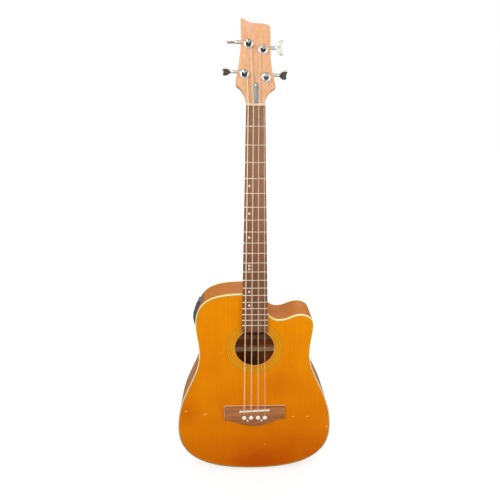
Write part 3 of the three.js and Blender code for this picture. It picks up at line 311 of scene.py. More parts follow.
def addCamera():
    s = cameraSettings
    bpy.ops.object.camera_add(location=s["location"], rotation=[math.radians(angle) for angle in s["turn"]])
    camera = bpy.context.object
    camera.name = "photoCamera"
    camera.data.lens = s["lens"]
    camera.data.sensor_width = s["sensor"]
    camera.data.clip_start = s["near"]
    bpy.context.scene.camera = camera
    bpy.context.scene.view_settings.view_transform = "Standard"


lightSettings = {"size": 1.8, "aim": (0, 0, 0.55), "boxes": [
    ("keySoftbox", (-1.5, -2.3, 2.3), 50), ("fillSoftbox", (1.9, -2.0, 1.3), 26),
    ("backSoftbox", (0.3, 2.2, 2.0), 22),
]}


def addLights():
    s = lightSettings
    for name, at, power in s["boxes"]:
        facing = Vector(at) - Vector(s["aim"])
        bpy.ops.object.light_add(type="AREA", location=at, rotation=facing.to_track_quat("Z", "Y").to_euler())
        lamp = bpy.context.object
        lamp.name = name
        lamp.data.shape = "SQUARE"
        lamp.data.size = s["size"]
        lamp.data.energy = power


def feed(tree, value, socket):
    # links a socket, or sets a plain value
    if isinstance(value, bpy.types.NodeSocket):
        tree.links.new(value, socket)
    elif socket.type == "RGBA" and len(value) == 3:
        socket.default_value = value + (1,)
    else:
        socket.default_value = value


def addNode(tree, kind, **values):
    node = tree.nodes.new("ShaderNode" + kind)
    for name, value in values.items():
        if hasattr(node, name):
            setattr(node, name, value)
        else:
            feed(tree, value, node.inputs[name])
    return node


def feedInOrder(tree, node, *values):
    for value, socket in zip(values, node.inputs):
        feed(tree, value, socket)
    return node.outputs[0]


def mapRange(tree, source, *limits):
    # limits are the low and high ends of what comes in, then of what goes out
    return feedInOrder(tree, addNode(tree, "MapRange"), source, *limits)


def calc(tree, how, *values):
    return feedInOrder(tree, addNode(tree, "Math", operation=how), *values)


def axisOf(tree, vector, axis):
    return addNode(tree, "SeparateXYZ", Vector=vector).outputs[axis]


def objectSpace(tree):
    return addNode(tree, "TexCoord").outputs["Object"]


worldSettings = {
    "lightStrength": 0.45, "roomDark": 0.12, "dark": (0.1, 0.34), "front": (-0.1, -0.55), "ceiling": (0.62, 0.8),
    "ceilingShare": 0.8,
}


def addWorld():
    # even light; the camera sees white, and a mirror sees white too but for the room behind the camera
    s = worldSettings
    world = bpy.data.worlds.new("paleStudio")
    world.use_nodes = True
    tree = world.node_tree
    tree.nodes.clear()
    direction = addNode(tree, "TexCoord").outputs["Generated"]
    height = axisOf(tree, direction, "Z")
    low = mapRange(tree, height, *s["dark"], 1.0, 0.0)
    front = mapRange(tree, axisOf(tree, direction, "Y"), *s["front"], 0.0, 1.0)
    ceiling = mapRange(tree, height, *s["ceiling"], 0.0, s["ceilingShare"])
    dark = calc(tree, "MAXIMUM", calc(tree, "MULTIPLY", low, front), ceiling)
    lighting, room, white = [
        addNode(tree, "Background", Color=(1, 1, 1, 1), Strength=strength).outputs[0]
        for strength in (s["lightStrength"], mapRange(tree, dark, 0.0, 1.0, 1.0, s["roomDark"]), 1.0)]
    rays = addNode(tree, "LightPath").outputs
    direct = calc(tree, "MAXIMUM", rays["Is Camera Ray"], rays["Is Transmission Ray"])
    mirrored = feedInOrder(tree, addNode(tree, "MixShader"), rays["Is Glossy Ray"], lighting, room)
    addNode(tree, "OutputWorld", Surface=feedInOrder(tree, addNode(tree, "MixShader"), direct, mirrored, white))
    bpy.context.scene.world = world


floorSettings = {
    "size": 30, "drop": 0.4, "roughness": 0.9, "color": (0.5, 0.5, 0.5), "mirrorColor": (0.08, 0.075, 0.07),
    "lift": (1.0, 4.0, 0.66, 1.0), "frontMirror": 0.3, "rearMirror": 0.02, "mirrorStart": (-0.3, 0.1),
    "mirrorEnd": (2.0, 5.0),
}


def addFloor():
    s = floorSettings
    bpy.ops.object.select_all(action="DESELECT")
    bpy.ops.mesh.primitive_plane_add(size=s["size"], location=(0, 0, -s["drop"] * mm))
    floor = bpy.context.object
    floor.name = "paleFloor"
    bpy.ops.object.transform_apply(location=True, rotation=True, scale=True)
    material = bpy.data.materials.new("paleFloor")
    material.use_nodes = True
    tree = material.node_tree
    shader = tree.nodes["Principled BSDF"]
    shader.inputs["Roughness"].default_value = s["roughness"]
    shader.inputs["Specular IOR Level"].default_value = 0.0
    shader.inputs["Emission Color"].default_value = (1, 1, 1, 1)
    rays, space = addNode(tree, "LightPath").outputs, objectSpace(tree)
    depth = axisOf(tree, space, "Y")
    behind = calc(tree, "MULTIPLY", mapRange(tree, depth, *s["mirrorStart"], 0.0, 1.0),
                  mapRange(tree, depth, *s["mirrorEnd"], 1.0, 0.0))
    glossy = rays["Is Glossy Ray"]
    shade = blendColor(tree, s["color"], s["mirrorColor"], calc(tree, "MULTIPLY", glossy, behind))
    feed(tree, shade, shader.inputs["Base Color"])
    reach = addNode(tree, "VectorMath", operation="LENGTH", Vector=space).outputs["Value"]
    direct = calc(tree, "MULTIPLY", rays["Is Camera Ray"], mapRange(tree, reach, *s["lift"]))
    glow = mapRange(tree, behind, 0.0, 1.0, s["frontMirror"], s["rearMirror"])
    feed(tree, calc(tree, "ADD", direct, calc(tree, "MULTIPLY", glossy, glow)), shader.inputs["Emission Strength"])
    floor.data.materials.append(material)


# shared surface effects

def newGroup(name, inputs, outputs):
    tree = bpy.data.node_groups.new(name, "ShaderNodeTree")
    tree.interface.new_socket(name="Vector", in_out="INPUT", socket_type="NodeSocketVector")
    for label, value in inputs.items():
        socket = tree.interface.new_socket(name=label, in_out="INPUT", socket_type="NodeSocketFloat")
        socket.default_value = value
    for label in outputs:
        tree.interface.new_socket(name=label, in_out="OUTPUT", socket_type="NodeSocketFloat")
    return tree, tree.nodes.new("NodeGroupInput").outputs, tree.nodes.new("NodeGroupOutput").inputs


def noise(tree, vector, scale, detail, roughness=0.5, distortion=0.0):
    return addNode(tree, "TexNoise", Vector=vector, Scale=scale, Detail=detail, Roughness=roughness,
                   Distortion=distortion).outputs[0]


def stretched(tree, vector, scale=(1, 1, 1), turn=(0, 0, 0)):
    return addNode(tree, "Mapping", Vector=vector, Scale=scale, Rotation=turn).outputs[0]


figureSettings = {"lineStretch": 0.012, "poreStretch": 0.06, "cloudStretch": 0.22, "poreEdge": (0.58, 0.72)}


def makeWoodFigure():
    # growth lines that run along Z, slow colour clouds, and short open pores
    s = figureSettings
    tree, given, result = newGroup("woodFigure", {"lineScale": 420.0, "cloudScale": 9.0, "poreScale": 900.0},
                                   ["lines", "cloud", "pores"])
    lines, pores, cloud = [stretched(tree, given["Vector"], (1, 1, s[name]))
                           for name in ("lineStretch", "poreStretch", "cloudStretch")]
    feed(tree, noise(tree, lines, given["lineScale"], 3.0, 0.6, 0.25), result["lines"])
    feed(tree, noise(tree, cloud, given["cloudScale"], 2.0), result["cloud"])
    pores = noise(tree, pores, given["poreScale"], 1.5)
    feed(tree, mapRange(tree, pores, *s["poreEdge"], 0.0, 1.0), result["pores"])
    return tree


handlingSettings = {"stretch": (1, 0.12, 0.7), "turn": (0.3, 0.5, 0.2), "scratchEdge": (0.56, 0.62)}


def makeHandling():
    # smudges for the gloss and hair-fine scratches for the bump
    s = handlingSettings
    tree, given, result = newGroup("handling", {"smudgeScale": 40.0, "scratchScale": 260.0}, ["smudge", "scratch"])
    feed(tree, noise(tree, given["Vector"], given["smudgeScale"], 4.0, 0.65, 0.6), result["smudge"])
    streaks = stretched(tree, given["Vector"], s["stretch"], s["turn"])
    scratch = noise(tree, streaks, given["scratchScale"], 2.0, 0.7, 1.2)
    feed(tree, mapRange(tree, scratch, *s["scratchEdge"], 0.0, 1.0), result["scratch"])
    return tree


woodFigure = makeWoodFigure()
handling = makeHandling()
looks = {}


def startMaterial(name, metallic=0.0, specular=0.5):
    material = bpy.data.materials.new(name)
    material.use_nodes = True
    looks[name] = material
    tree = material.node_tree
    shader = tree.nodes["Principled BSDF"]
    shader.inputs["Metallic"].default_value = metallic
    shader.inputs["Specular IOR Level"].default_value = specular
    return tree, shader, objectSpace(tree)


def useGroup(tree, group, vector, **values):
    return addNode(tree, "Group", node_tree=group, Vector=vector, **values).outputs


def ramp(tree, source, low, high, start=0.3, end=0.7):
    node = addNode(tree, "ValToRGB")
    feed(tree, source, node.inputs[0])
    for element, position, color in zip(node.color_ramp.elements, (start, end), (low, high)):
        element.position, element.color = position, color + (1,)
    return node.outputs["Color"]


def blendColor(tree, first, second, amount):
    node = addNode(tree, "Mix", data_type="RGBA")
    for value, socket in ((amount, node.inputs[0]), (first, node.inputs[6]), (second, node.inputs[7])):
        feed(tree, value, socket)
    return node.outputs[2]


def darker(color, share):
    return tuple(channel * share for channel in color)


surfaceSettings = {"smudge": (0.3, 0.7), "cloud": (0.35, 0.7), "poreShade": 0.35, "speck": (0.45, 0.75),
                   "speckShade": 0.3, "stainScale": 60.0, "grainScale": 1500.0, "metalSmudge": 90.0,
                   "woodDepth": 0.0004, "plasticDepth": 0.0001, "metalDepth": 0.00008}


def finishSurface(tree, shader, color, smudge, rough, height, bump, distance):
    raised = addNode(tree, "Bump", Strength=bump, Distance=distance, Height=height)
    feed(tree, raised.outputs[0], shader.inputs["Normal"])
    feed(tree, color, shader.inputs["Base Color"])
    feed(tree, mapRange(tree, smudge, *surfaceSettings["smudge"], *rough), shader.inputs["Roughness"])


def makeWood(name, dark, light, lineScale=420.0, cloudDark=None, pores=0.25, rough=(0.3, 0.45), specular=0.4,
             bump=0.15, mirrored=False, cloudScale=9.0, poreScale=900.0, sideways=False, cloudShare=0.55):
    tree, shader, vector = startMaterial(name, specular=specular)
    if sideways:                                   # the grain runs across, along X
        vector = stretched(tree, vector, turn=(0, quarterTurn, 0))
    if mirrored:                                   # opened like a book: mirrored about the centre seam
        x, y, z = addNode(tree, "SeparateXYZ", Vector=vector).outputs
        vector = feedInOrder(tree, addNode(tree, "CombineXYZ"), calc(tree, "ABSOLUTE", x), y, z)
    s = surfaceSettings
    figure = useGroup(tree, woodFigure, vector, lineScale=lineScale, cloudScale=cloudScale, poreScale=poreScale)
    color = ramp(tree, figure["lines"], dark, light)
    if cloudDark:
        color = blendColor(tree, color, cloudDark, mapRange(tree, figure["cloud"], *s["cloud"], 0.0, cloudShare))
    poreShade = calc(tree, "MULTIPLY", figure["pores"], pores)
    color = blendColor(tree, color, darker(dark, s["poreShade"]), poreShade)
    finishSurface(tree, shader, color, useGroup(tree, handling, vector)["smudge"], rough,
                  calc(tree, "SUBTRACT", figure["lines"], poreShade), bump, s["woodDepth"])


def makePlastic(name, base, low, rough=(0.3, 0.45), specular=0.5, speck=0.04, bump=0.05):
    tree, shader, vector = startMaterial(name, specular=specular)
    s = surfaceSettings
    grain = noise(tree, vector, s["grainScale"], 2.0)
    color = ramp(tree, noise(tree, vector, s["stainScale"], 3.0), low, base)
    color = blendColor(tree, color, darker(base, s["speckShade"]), mapRange(tree, grain, *s["speck"], 0.0, speck))
    wear = useGroup(tree, handling, vector)
    finishSurface(tree, shader, color, wear["smudge"], rough, calc(tree, "ADD", grain, wear["scratch"]), bump,
                  s["plasticDepth"])


def makeMetal(name, base, low, rough=(0.12, 0.25), bump=0.04, scratchScale=260.0):
    tree, shader, vector = startMaterial(name, metallic=1.0)
    wear = useGroup(tree, handling, vector, smudgeScale=surfaceSettings["metalSmudge"], scratchScale=scratchScale)
    finishSurface(tree, shader, ramp(tree, wear["smudge"], low, base), wear["smudge"], rough, wear["scratch"], bump,
                  surfaceSettings["metalDepth"])


def recolor(name, change):
    # puts a finished material's colour through one more step
    tree = looks[name].node_tree
    socket = tree.nodes["Principled BSDF"].inputs["Base Color"]
    feed(tree, change(tree, objectSpace(tree), socket.links[0].from_socket), socket)


def spotMask(tree, vector, x, z, halfWidth, halfHeight, core):
    # 1 in the middle of a flat oval spot, 0 outside it
    for how, values in (("SUBTRACT", (x, 0, z)), ("MULTIPLY", (1 / halfWidth, 0, 1 / halfHeight))):
        vector = feedInOrder(tree, addNode(tree, "VectorMath", operation=how), vector, values)
    length = addNode(tree, "VectorMath", operation="LENGTH", Vector=vector)
    return mapRange(tree, length.outputs["Value"], core, 1.0, 1.0, 0.0)


topSettings = {
    # low is the browner colour of the patches and spots, and of the painted shade towards the tail
    "cloud": (0.86, 0.255, 0.0003), "low": (0.55, 0.085, 0.0003), "patchScale": 8.0,
    "patchRange": (0.42, 0.68, 0.0, 0.2),
    "tailShade": [(0.11, 0.4, 0.3), (0.03, 0.13, 0.22)],
    "streak": (0.7, 0.19, 0.0005), "streakScale": 190.0, "streakStretch": 0.02, "streakRange": (0.45, 0.7, 0.0, 0.2),
    "darkSpots": [(0.06, 0.293, 0.045, 0.3), (0.005, 0.03, 0.13, 0.4), (-0.192, 0.212, 0.05, 0.3),
               (0.132, 0.13, 0.11, 0.2), (-0.13, 0.06, 0.07, 0.12), (0.19, 0.07, 0.06, 0.14)],
    "dents": [(-0.194, 0.209, 0.006), (-0.141, 0.198, 0.009), (0.031, 0.093, 0.0026), (-0.091, 0.391, 0.0026),
              (0.209, 0.151, 0.006), (0.111, 0.186, 0.005), (0.153, 0.186, 0.004)],
    "dent": (0.99, 0.55, 0.14), "dentHeight": 0.0016, "dentCore": 0.55, "spotCore": 0.15, "spotTall": 1.3,
}


def toneAndShadeTop(tree, vector, color):
    # browner in streaks and patches, darker towards the tail as painted shade, with a few pale dents
    s = topSettings
    streak = noise(tree, stretched(tree, vector, (1, 1, s["streakStretch"])), s["streakScale"], 2.0, 0.6)
    color = blendColor(tree, color, s["streak"], mapRange(tree, streak, *s["streakRange"]))
    patch = noise(tree, vector, s["patchScale"], 2.5, 0.55)
    shade = mapRange(tree, patch, *s["patchRange"])
    # painted shade: the top darker towards the tail
    for low, high, share in s["tailShade"]:
        shade = calc(tree, "ADD", shade, mapRange(tree, axisOf(tree, vector, "Z"), low, high, share, 0.0))
    # soft darker spots on the top
    for x, z, radius, share in s["darkSpots"]:
        darkSpot = spotMask(tree, vector, x, z, radius, radius * s["spotTall"], s["spotCore"])
        shade = calc(tree, "ADD", shade, calc(tree, "MULTIPLY", darkSpot, share))
    color = blendColor(tree, color, s["low"], calc(tree, "MINIMUM", shade, 1.0))
    for x, z, reach in s["dents"]:
        color = blendColor(tree, color, s["dent"],
                           spotMask(tree, vector, x, z, reach, s["dentHeight"], s["dentCore"]))
    return color


neckSpots = {"pink": (0.9, 0.5, 0.38), "olive": (0.74, 0.48, 0.22), "scale": 38.0, "stretch": 0.35,
             "pinkRange": (0.52, 0.66, 0.0, 0.6), "oliveRange": (0.46, 0.34, 0.0, 0.5)}


def mottleNeck(tree, vector, color):
    s = neckSpots
    mottle = noise(tree, stretched(tree, vector, (1, 1, s["stretch"])), s["scale"], 2.5, 0.6)
    color = blendColor(tree, color, s["pink"], mapRange(tree, mottle, *s["pinkRange"]))
    return blendColor(tree, color, s["olive"], mapRange(tree, mottle, *s["oliveRange"]))


# low is painted shade in the grooves between the winding's ribs
windingSettings = {"pitch": 0.0007, "color": (0.99, 0.86, 0.6), "low": (0.87, 0.7, 0.45),
                   # the colour of the string's end round the post: partly silk, partly painted shade inside the
                   # ferrule
                   "wrapped": (0.035, 0.032, 0.03), "rough": (0.28, 0.42), "metallic": 0.45,
                   "bump": 0.6, "depth": 0.00012, "ribRange": (-1.0, 0.4), "smudgeScale": 30.0}


def makeWinding():
    # the wrap wire shows as fine ribs along the string
    s = windingSettings
    tree, shader, vector = startMaterial("stringWinding", metallic=s["metallic"])
    along, wrapped = [addNode(tree, "Attribute", attribute_name=name).outputs["Fac"] for name in ("along", "wrapped")]
    ribs = calc(tree, "SINE", calc(tree, "MULTIPLY", along, 2 * math.pi / s["pitch"]))
    # painted shade: the grooves between the ribs take the darker colour
    color = ramp(tree, mapRange(tree, ribs, *s["ribRange"], 0.0, 1.0), s["low"], s["color"], 0.0, 1.0)
    # the end round the post: nearly black, partly silk and partly painted shade inside the ferrule
    color = blendColor(tree, color, s["wrapped"], wrapped)
    finishSurface(tree, shader, color, useGroup(tree, handling, vector, smudgeScale=s["smudgeScale"])["smudge"],
                  s["rough"], ribs, s["bump"], s["depth"])


sideGrain = {"lineScale": 260.0, "pores": 0.4, "rough": (0.4, 0.55), "specular": 0.05, "bump": 0.1,
             "cloudDark": (0.54, 0.155, 0.01), "mirrored": True}
bareGrain = {"lineScale": 330.0, "pores": 0.2, "rough": (0.6, 0.8), "specular": 0.1, "bump": 0.2}
roseGrain = {"lineScale": 230.0, "pores": 0.6, "rough": (0.45, 0.62), "specular": 0.14, "bump": 0.3,
             "poreScale": 650.0, "cloudScale": 24.0}
woodLooks = {
    "topWood": ((0.84, 0.255, 0.0004), (0.99, 0.345, 0.0006),
                {"lineScale": 560.0, "pores": 0.06, "rough": (0.36, 0.5), "specular": 0.05, "bump": 0.05,
                 "mirrored": True, "cloudDark": topSettings["cloud"], "cloudShare": 0.8}),
    "sideWood": ((0.52, 0.15, 0.008), (0.76, 0.255, 0.018), sideGrain),
    "innerWood": ((0.44, 0.17, 0.06), (0.62, 0.28, 0.11), bareGrain),
    "braceWood": ((0.9, 0.48, 0.22), (0.99, 0.62, 0.34), bareGrain),
    "backWood": ((0.52, 0.15, 0.008), (0.76, 0.255, 0.018), sideGrain),
    "stripWood": ((0.24, 0.085, 0.035), (0.36, 0.13, 0.06), {**bareGrain, "specular": 0.15}),
    "bareWood": ((0.94, 0.6, 0.24), (0.99, 0.7, 0.36),
                 {"lineScale": 600.0, "pores": 0.1, "rough": (0.5, 0.7), "specular": 0.1, "bump": 0.1}),
    "neckWood": ((0.7, 0.365, 0.19), (0.95, 0.55, 0.34),
                 {"lineScale": 300.0, "pores": 0.3, "rough": (0.34, 0.48), "specular": 0.22, "bump": 0.08,
                  "cloudDark": (0.86, 0.42, 0.18), "poreScale": 700.0}),
    "rosewood": ((0.16, 0.062, 0.03), (0.36, 0.165, 0.09), {**roseGrain, "cloudDark": (0.18, 0.075, 0.04)}),
    "bridgeWood": ((0.28, 0.092, 0.028), (0.62, 0.25, 0.085),
                   {**roseGrain, "cloudDark": (0.3, 0.105, 0.04), "sideways": True}),
    "rosetteWood": ((0.68, 0.245, 0.001), (0.8, 0.305, 0.002),
                    {"lineScale": 700.0, "pores": 0.1, "rough": (0.36, 0.5), "specular": 0.05, "bump": 0.05}),
}
plasticLooks = {
    "bindingCream": ((0.98, 0.9, 0.36), (0.93, 0.8, 0.28), (0.3, 0.45), 0.25),
    "bone": ((0.99, 0.96, 0.88), (0.95, 0.9, 0.78), (0.28, 0.42), 0.35),
    "nutBone": ((0.95, 0.74, 0.53), (0.82, 0.6, 0.41), (0.3, 0.45), 0.3),
    "darkLine": ((0.17, 0.095, 0.012), (0.12, 0.065, 0.008), (0.4, 0.5), 0.1),
    "lightLine": ((0.9, 0.72, 0.25), (0.84, 0.62, 0.18), (0.4, 0.5), 0.2),
    "goldLine": ((0.98, 0.52, 0.08), (0.92, 0.46, 0.06), (0.4, 0.5), 0.08),
    "oliveLine": ((0.5, 0.19, 0.002), (0.44, 0.16, 0.002), (0.4, 0.5), 0.08),
    "pearl": ((0.98, 0.9, 0.76), (0.9, 0.8, 0.64), (0.25, 0.35), 0.3),
    "blackPlastic": ((0.03, 0.03, 0.033), (0.018, 0.018, 0.02), (0.4, 0.55), 0.5, 0.04, 0.25),
    "greyPlastic": ((0.13, 0.13, 0.135), (0.09, 0.09, 0.095), (0.35, 0.5), 0.5, 0.04, 0.2),
}
metalLooks = {
    "chrome": ((0.93, 0.92, 0.86), (0.82, 0.81, 0.75)),
    # painted reflection: the buttons' chrome tinted cream, as if it mirrored the wood
    "buttonMetal": ((0.95, 0.93, 0.85), (0.84, 0.82, 0.73), (0.2, 0.32)),
    # painted shade and dark reflection: the chrome posts given a darker steel colour
    "shadedPostMetal": ((0.5, 0.49, 0.48), (0.36, 0.35, 0.34), (0.14, 0.26)),
    "steel": ((0.5, 0.51, 0.53), (0.36, 0.37, 0.39), (0.3, 0.45)),
    "fretMetal": ((0.97, 0.88, 0.72), (0.88, 0.78, 0.6), (0.26, 0.4)),
    "coverMetal": ((0.35, 0.355, 0.345), (0.25, 0.255, 0.25), (0.34, 0.5), 0.12, 700.0),
}
# a second colour that comes in with height: look, tint, from z, to z, and its share at each
heightTints = [
    # painted shade: the binding turns orange lower down and dark brown near the tail
    ("bindingCream", (0.97, 0.7, 0.4), 0.31, 0.4, 1.0, 0.0),
    ("bindingCream", (0.4, 0.2, 0.012), 0.1, 0.17, 1.0, 0.0),
    ("rosewood", (0.42, 0.215, 0.135), 0.6, 0.84, 0.0, 0.55),
    # painted sheen: the rims paler and greyer lower down
    ("sideWood", (0.52, 0.34, 0.22), 0.3, 0.42, 0.5, 0.0),
    # painted shade: the back braces dark above a height, leaving a lit lower edge on the brace there
    ("braceWood", (0.34, 0.08, 0.03), 0.355, 0.365, 0.0, 0.66),
    # painted shade: the bridge darker towards its lower point
    ("bridgeWood", (0.3, 0.11, 0.045), 0.175, 0.195, 0.5, 0.0),
]
insideShade = {"color": (0.36, 0.085, 0.03), "range": (-0.4, -0.6, 0.0, 0.6)}


def shadeBackInside(tree, vector, color):
    # the inner side of the back, unlacquered and facing the sound hole, painted darker and redder as the shade inside
    # the body
    facing = axisOf(tree, addNode(tree, "TexCoord").outputs["Normal"], "Y")
    return blendColor(tree, color, insideShade["color"], mapRange(tree, facing, *insideShade["range"]))


def makeLooks():
    for name, (dark, light, grain) in woodLooks.items():
        makeWood(name, dark, light, **grain)
    for name, values in plasticLooks.items():
        makePlastic(name, *values)
    for name, values in metalLooks.items():
        makeMetal(name, *values)
    makeWinding()
    recolor("topWood", toneAndShadeTop)
    recolor("neckWood", mottleNeck)
    recolor("backWood", shadeBackInside)
    for name, tint, *limits in heightTints:
        recolor(name, lambda tree, vector, color: blendColor(
            tree, color, tint, mapRange(tree, axisOf(tree, vector, "Z"), *limits)))


addCamera()
addLights()
addWorld()
addFloor()
print("scene: camera, lights and floor are set")
makeLooks()
print("scene: materials are made")


# body: bindings, lines, soundboard, rims, back

bodySettings = {
    "lowerHalf": 218.6, "waistHalf": 151.7, "upperHalf": 159.3, "lowerZ": 152.686, "waistZ": 386.521,
    "upperZ": 469.986, "shoulderX": -34.4, "neckSideX": 31.0, "steps": 18,
    "hornOut": 0.717, "hornUp": 0.347, "scoopOut": 0.271, "scoopUp": 0.192, "sideUp": 0.607,
    "bindingWidth": 2.6, "bindingDepth": 6.5, "backBindingDepth": 5.0, "bindingRound": 0.7, "topThickness": 3.2,
    "backThickness": 3.0, "rimThickness": 2.4, "holeRadius": 54.0, "joint": 0.02,
}


def bodyKnots():
    s = bodySettings
    lower, waist, upper, sideX, shoulder = [
        s[name] for name in ("lowerHalf", "waistHalf", "upperHalf", "neckSideX", "shoulderX")]
    lowerZ, waistZ, upperZ = s["lowerZ"], s["waistZ"], s["upperZ"]
    hornX, hornZ = between(sideX, upper, s["hornOut"]), between(upperZ, topZ, s["hornUp"])
    scoopX, scoopZ = between(sideX, upper, s["scoopOut"]), between(upperZ, topZ, s["scoopUp"])
    sideZ = between(upperZ, topZ, s["sideUp"])
    tailReach = lower * 0.634
    lowerDown, lowerUp = between(lowerZ, tailZ, 0.722), between(lowerZ, waistZ, 0.454)
    waistDown, waistUp = between(waistZ, lowerZ, 0.31), between(waistZ, upperZ, 0.427)
    upperDown = between(upperZ, waistZ, 0.299)
    return [
        (0, tailZ, (-tailReach, tailZ), (tailReach, tailZ)),
        (lower, lowerZ, (lower, lowerDown), (lower, lowerUp)),
        (waist, waistZ, (waist, waistDown), (waist, waistUp)),
        (upper, upperZ, (upper, upperDown), (upper, between(upperZ, hornZ, 0.712))),
        (hornX, hornZ, (between(hornX, upper, 0.514), hornZ), (between(hornX, scoopX, 0.414), hornZ)),
        (scoopX, scoopZ, (between(scoopX, hornX, 0.464), scoopZ), (between(scoopX, sideX, 0.571), scoopZ)),
        (sideX, sideZ, (sideX, between(sideZ, scoopZ, 0.591)), (sideX, between(sideZ, topZ, 0.333))),
        (sideX, topZ, (sideX, between(topZ, sideZ, 0.333)), (between(sideX, 0, 0.4), topZ)),
        (shoulder, topZ, (between(shoulder, 0, 0.4), topZ), (between(shoulder, -upper, 0.707), topZ)),
        (-upper, upperZ, (-upper, between(upperZ, topZ, 0.744)), (-upper, upperDown)),
        (-waist, waistZ, (-waist, waistUp), (-waist, waistDown)),
        (-lower, lowerZ, (-lower, lowerUp), (-lower, lowerDown)),
    ]


bodyOutline = addOutline(bodyKnots(), bodySettings["steps"])
bodyBack = faceY + bodyDepth

lineSettings = {"proud": 0.06, "sunk": 0.3,
                "topLines": [(2.62, 3.1, "darkLine"), (3.1, 3.6, "lightLine"), (3.6, 4.1, "darkLine")]}


def addBindings():
    s = bodySettings
    for name, node, fromY, toY in (("topBinding", "top_binding", faceY, faceY + s["bindingDepth"]),
                                   ("backBinding", "back_binding", bodyBack - s["backBindingDepth"], bodyBack)):
        binding = ringOf(bodyOutline, 0, s["bindingWidth"], fromY, toY)
        roundEdges(binding, s["bindingRound"], 3, 60)
        if toY == bodyBack:
            followBack(binding)
        dress(binding, name, "bindingCream", [node])
    for index, (outer, inner, look) in enumerate(lineSettings["topLines"]):
        line = ringOf(bodyOutline, outer, inner, faceY - lineSettings["proud"], faceY + lineSettings["sunk"])
        dress(line, f"topLine{index + 1}", look)


def drill(obj, radius, low, high, sides, matrix=Matrix()):
    combine(obj, addRod(radius, low, high, sides, matrix))


pinHoleSettings = {"radius": 2.9, "reach": 20, "shank": 2.6, "clear": 0.6, "gap": 0.3}


def cutPinHole(obj, key, lowY, highY):
    # a bridge pin's hole, and beside it the well in which the string goes down
    s, x, radius = pinHoleSettings, across(key, saddleSpread), stringRadius[key]
    drill(obj, s["radius"], -s["reach"], s["reach"], 24, shift(x, faceY, pinZ) @ alongY)
    wellHigh = pinZ + s["shank"] + s["clear"] + 2 * radius + s["gap"]
    combine(obj, addBlock((x - radius - s["gap"], lowY, pinZ), (x + radius + s["gap"], highY, wellHigh)))


def addSoundboard():
    s = bodySettings
    plate = plateOf(bodyOutline, s["bindingWidth"] + s["joint"], faceY, faceY + s["topThickness"])
    drill(plate, s["holeRadius"], -20, 20, 96, shift(0, faceY, holeZ) @ alongY)
    for key in stringNames:
        cutPinHole(plate, key, faceY - pinHoleSettings["reach"], faceY + pinHoleSettings["reach"])
    dress(plate, "soundboardPlate", "topWood", ["soundboard"])


rosetteSettings = {"proud": 0.05, "sunk": 0.25, "start": 54.0, "rings": [
    (54.6, "bareWood"), (60.2, "rosetteWood"), (60.9, "oliveLine"), (63.1, "rosetteWood"), (63.7, "goldLine"),
    (65.9, "rosetteWood"), (66.6, "oliveLine"), (68.9, "rosetteWood"), (69.6, "goldLine"), (71.7, "rosetteWood"),
    (72.4, "oliveLine"), (74.7, "rosetteWood"), (75.2, "goldLine"), (77.5, "rosetteWood"), (78.4, "oliveLine"),
]}


def addRosette():
    s = rosetteSettings
    inner = s["start"]
    for index, (outer, look) in enumerate(s["rings"]):
        corners = [(inner, -s["proud"]), (outer, -s["proud"]), (outer, s["sunk"]), (inner, s["sunk"])]
        ring = turnProfile(corners + corners[:1], 128, shift(0, faceY, holeZ) @ alongY)
        dress(ring, f"rosetteRing{index + 1}", look)
        inner = outer


preampSettings = {
    "length": 92, "height": 50, "panel": 1.8, "boxDepth": 38, "boxLength": 80, "boxHeight": 42, "y": -6.056,
    "z": 487.986, "arcRadius": 62, "arcX": -105, "arcDrop": 5, "below": 31, "above": 37, "arcHeight": 45,
    "knobs": 4, "knobPitch": 15, "knobRow": -11.5, "knobSink": 4.5, "wellRadius": 6.8, "drawerLength": 54,
    "drawerHeight": 17, "drawerDepth": 30, "drawerRow": 10.5, "faceDepth": 4.7, "faceRim": 2, "gap": 0.4,
    "seat": 0.3, "lift": 0.5, "edge": 0.7, "caseGap": 0.6, "caseRound": 1.2, "beyond": 70,
}
jackSettings = {"x": 36, "sleeve": 6.4, "pinHole": 4.5}


def caseBlock(outX, gap, depth):
    # the preamplifier's box, or with a gap the window that it goes through
    p = preampSettings
    y, z = p["boxHeight"] / 2, p["boxLength"] / 2
    return addBlock((outX, p["y"] - y - gap, p["z"] - z - gap),
                    (depth - bodySettings["upperHalf"], p["y"] + y + gap, p["z"] + z + gap))


def addRims():
    s = bodySettings
    rim = ringOf(bodyOutline, s["joint"], s["rimThickness"], faceY + s["bindingDepth"] + s["joint"],
                 bodyBack - s["backBindingDepth"] - s["joint"])
    followBack(rim)
    for x, radius in ((0, jackSettings["pinHole"]), (jackSettings["x"], jackSettings["sleeve"])):
        drill(rim, radius, -5, 40, 24, Matrix.Translation((x * mm, 0, 0)))
    combine(rim, caseBlock(-s["upperHalf"] - 6, preampSettings["seat"], preampSettings["boxDepth"]))
    for name, node, side in (("rimBass", "rim_bass", -1), ("rimTreble", "rim_treble", 1)):
        half = copyOf(rim)
        cutPlane(half, (side * s["joint"] * mm, 0, 0), (side, 0, 0), keepInner=False)
        dress(closeUp(half), name, "sideWood", [node])
    drop(rim)


def addBack():
    s = bodySettings
    plate = plateOf(bodyOutline, s["bindingWidth"] + s["joint"], bodyBack - s["backThickness"], bodyBack)
    followBack(plate)
    dress(plate, "backPlate", "backWood", ["back"])


addBindings()
addSoundboard()
addRosette()
addRims()
addBack()
print("scene: the body is built")


# tail: end pin and output jack

endPinSettings = {"stand": 12.0, "head": 8.5, "neck": 4.2, "collar": 8.9, "shank": 26.0}


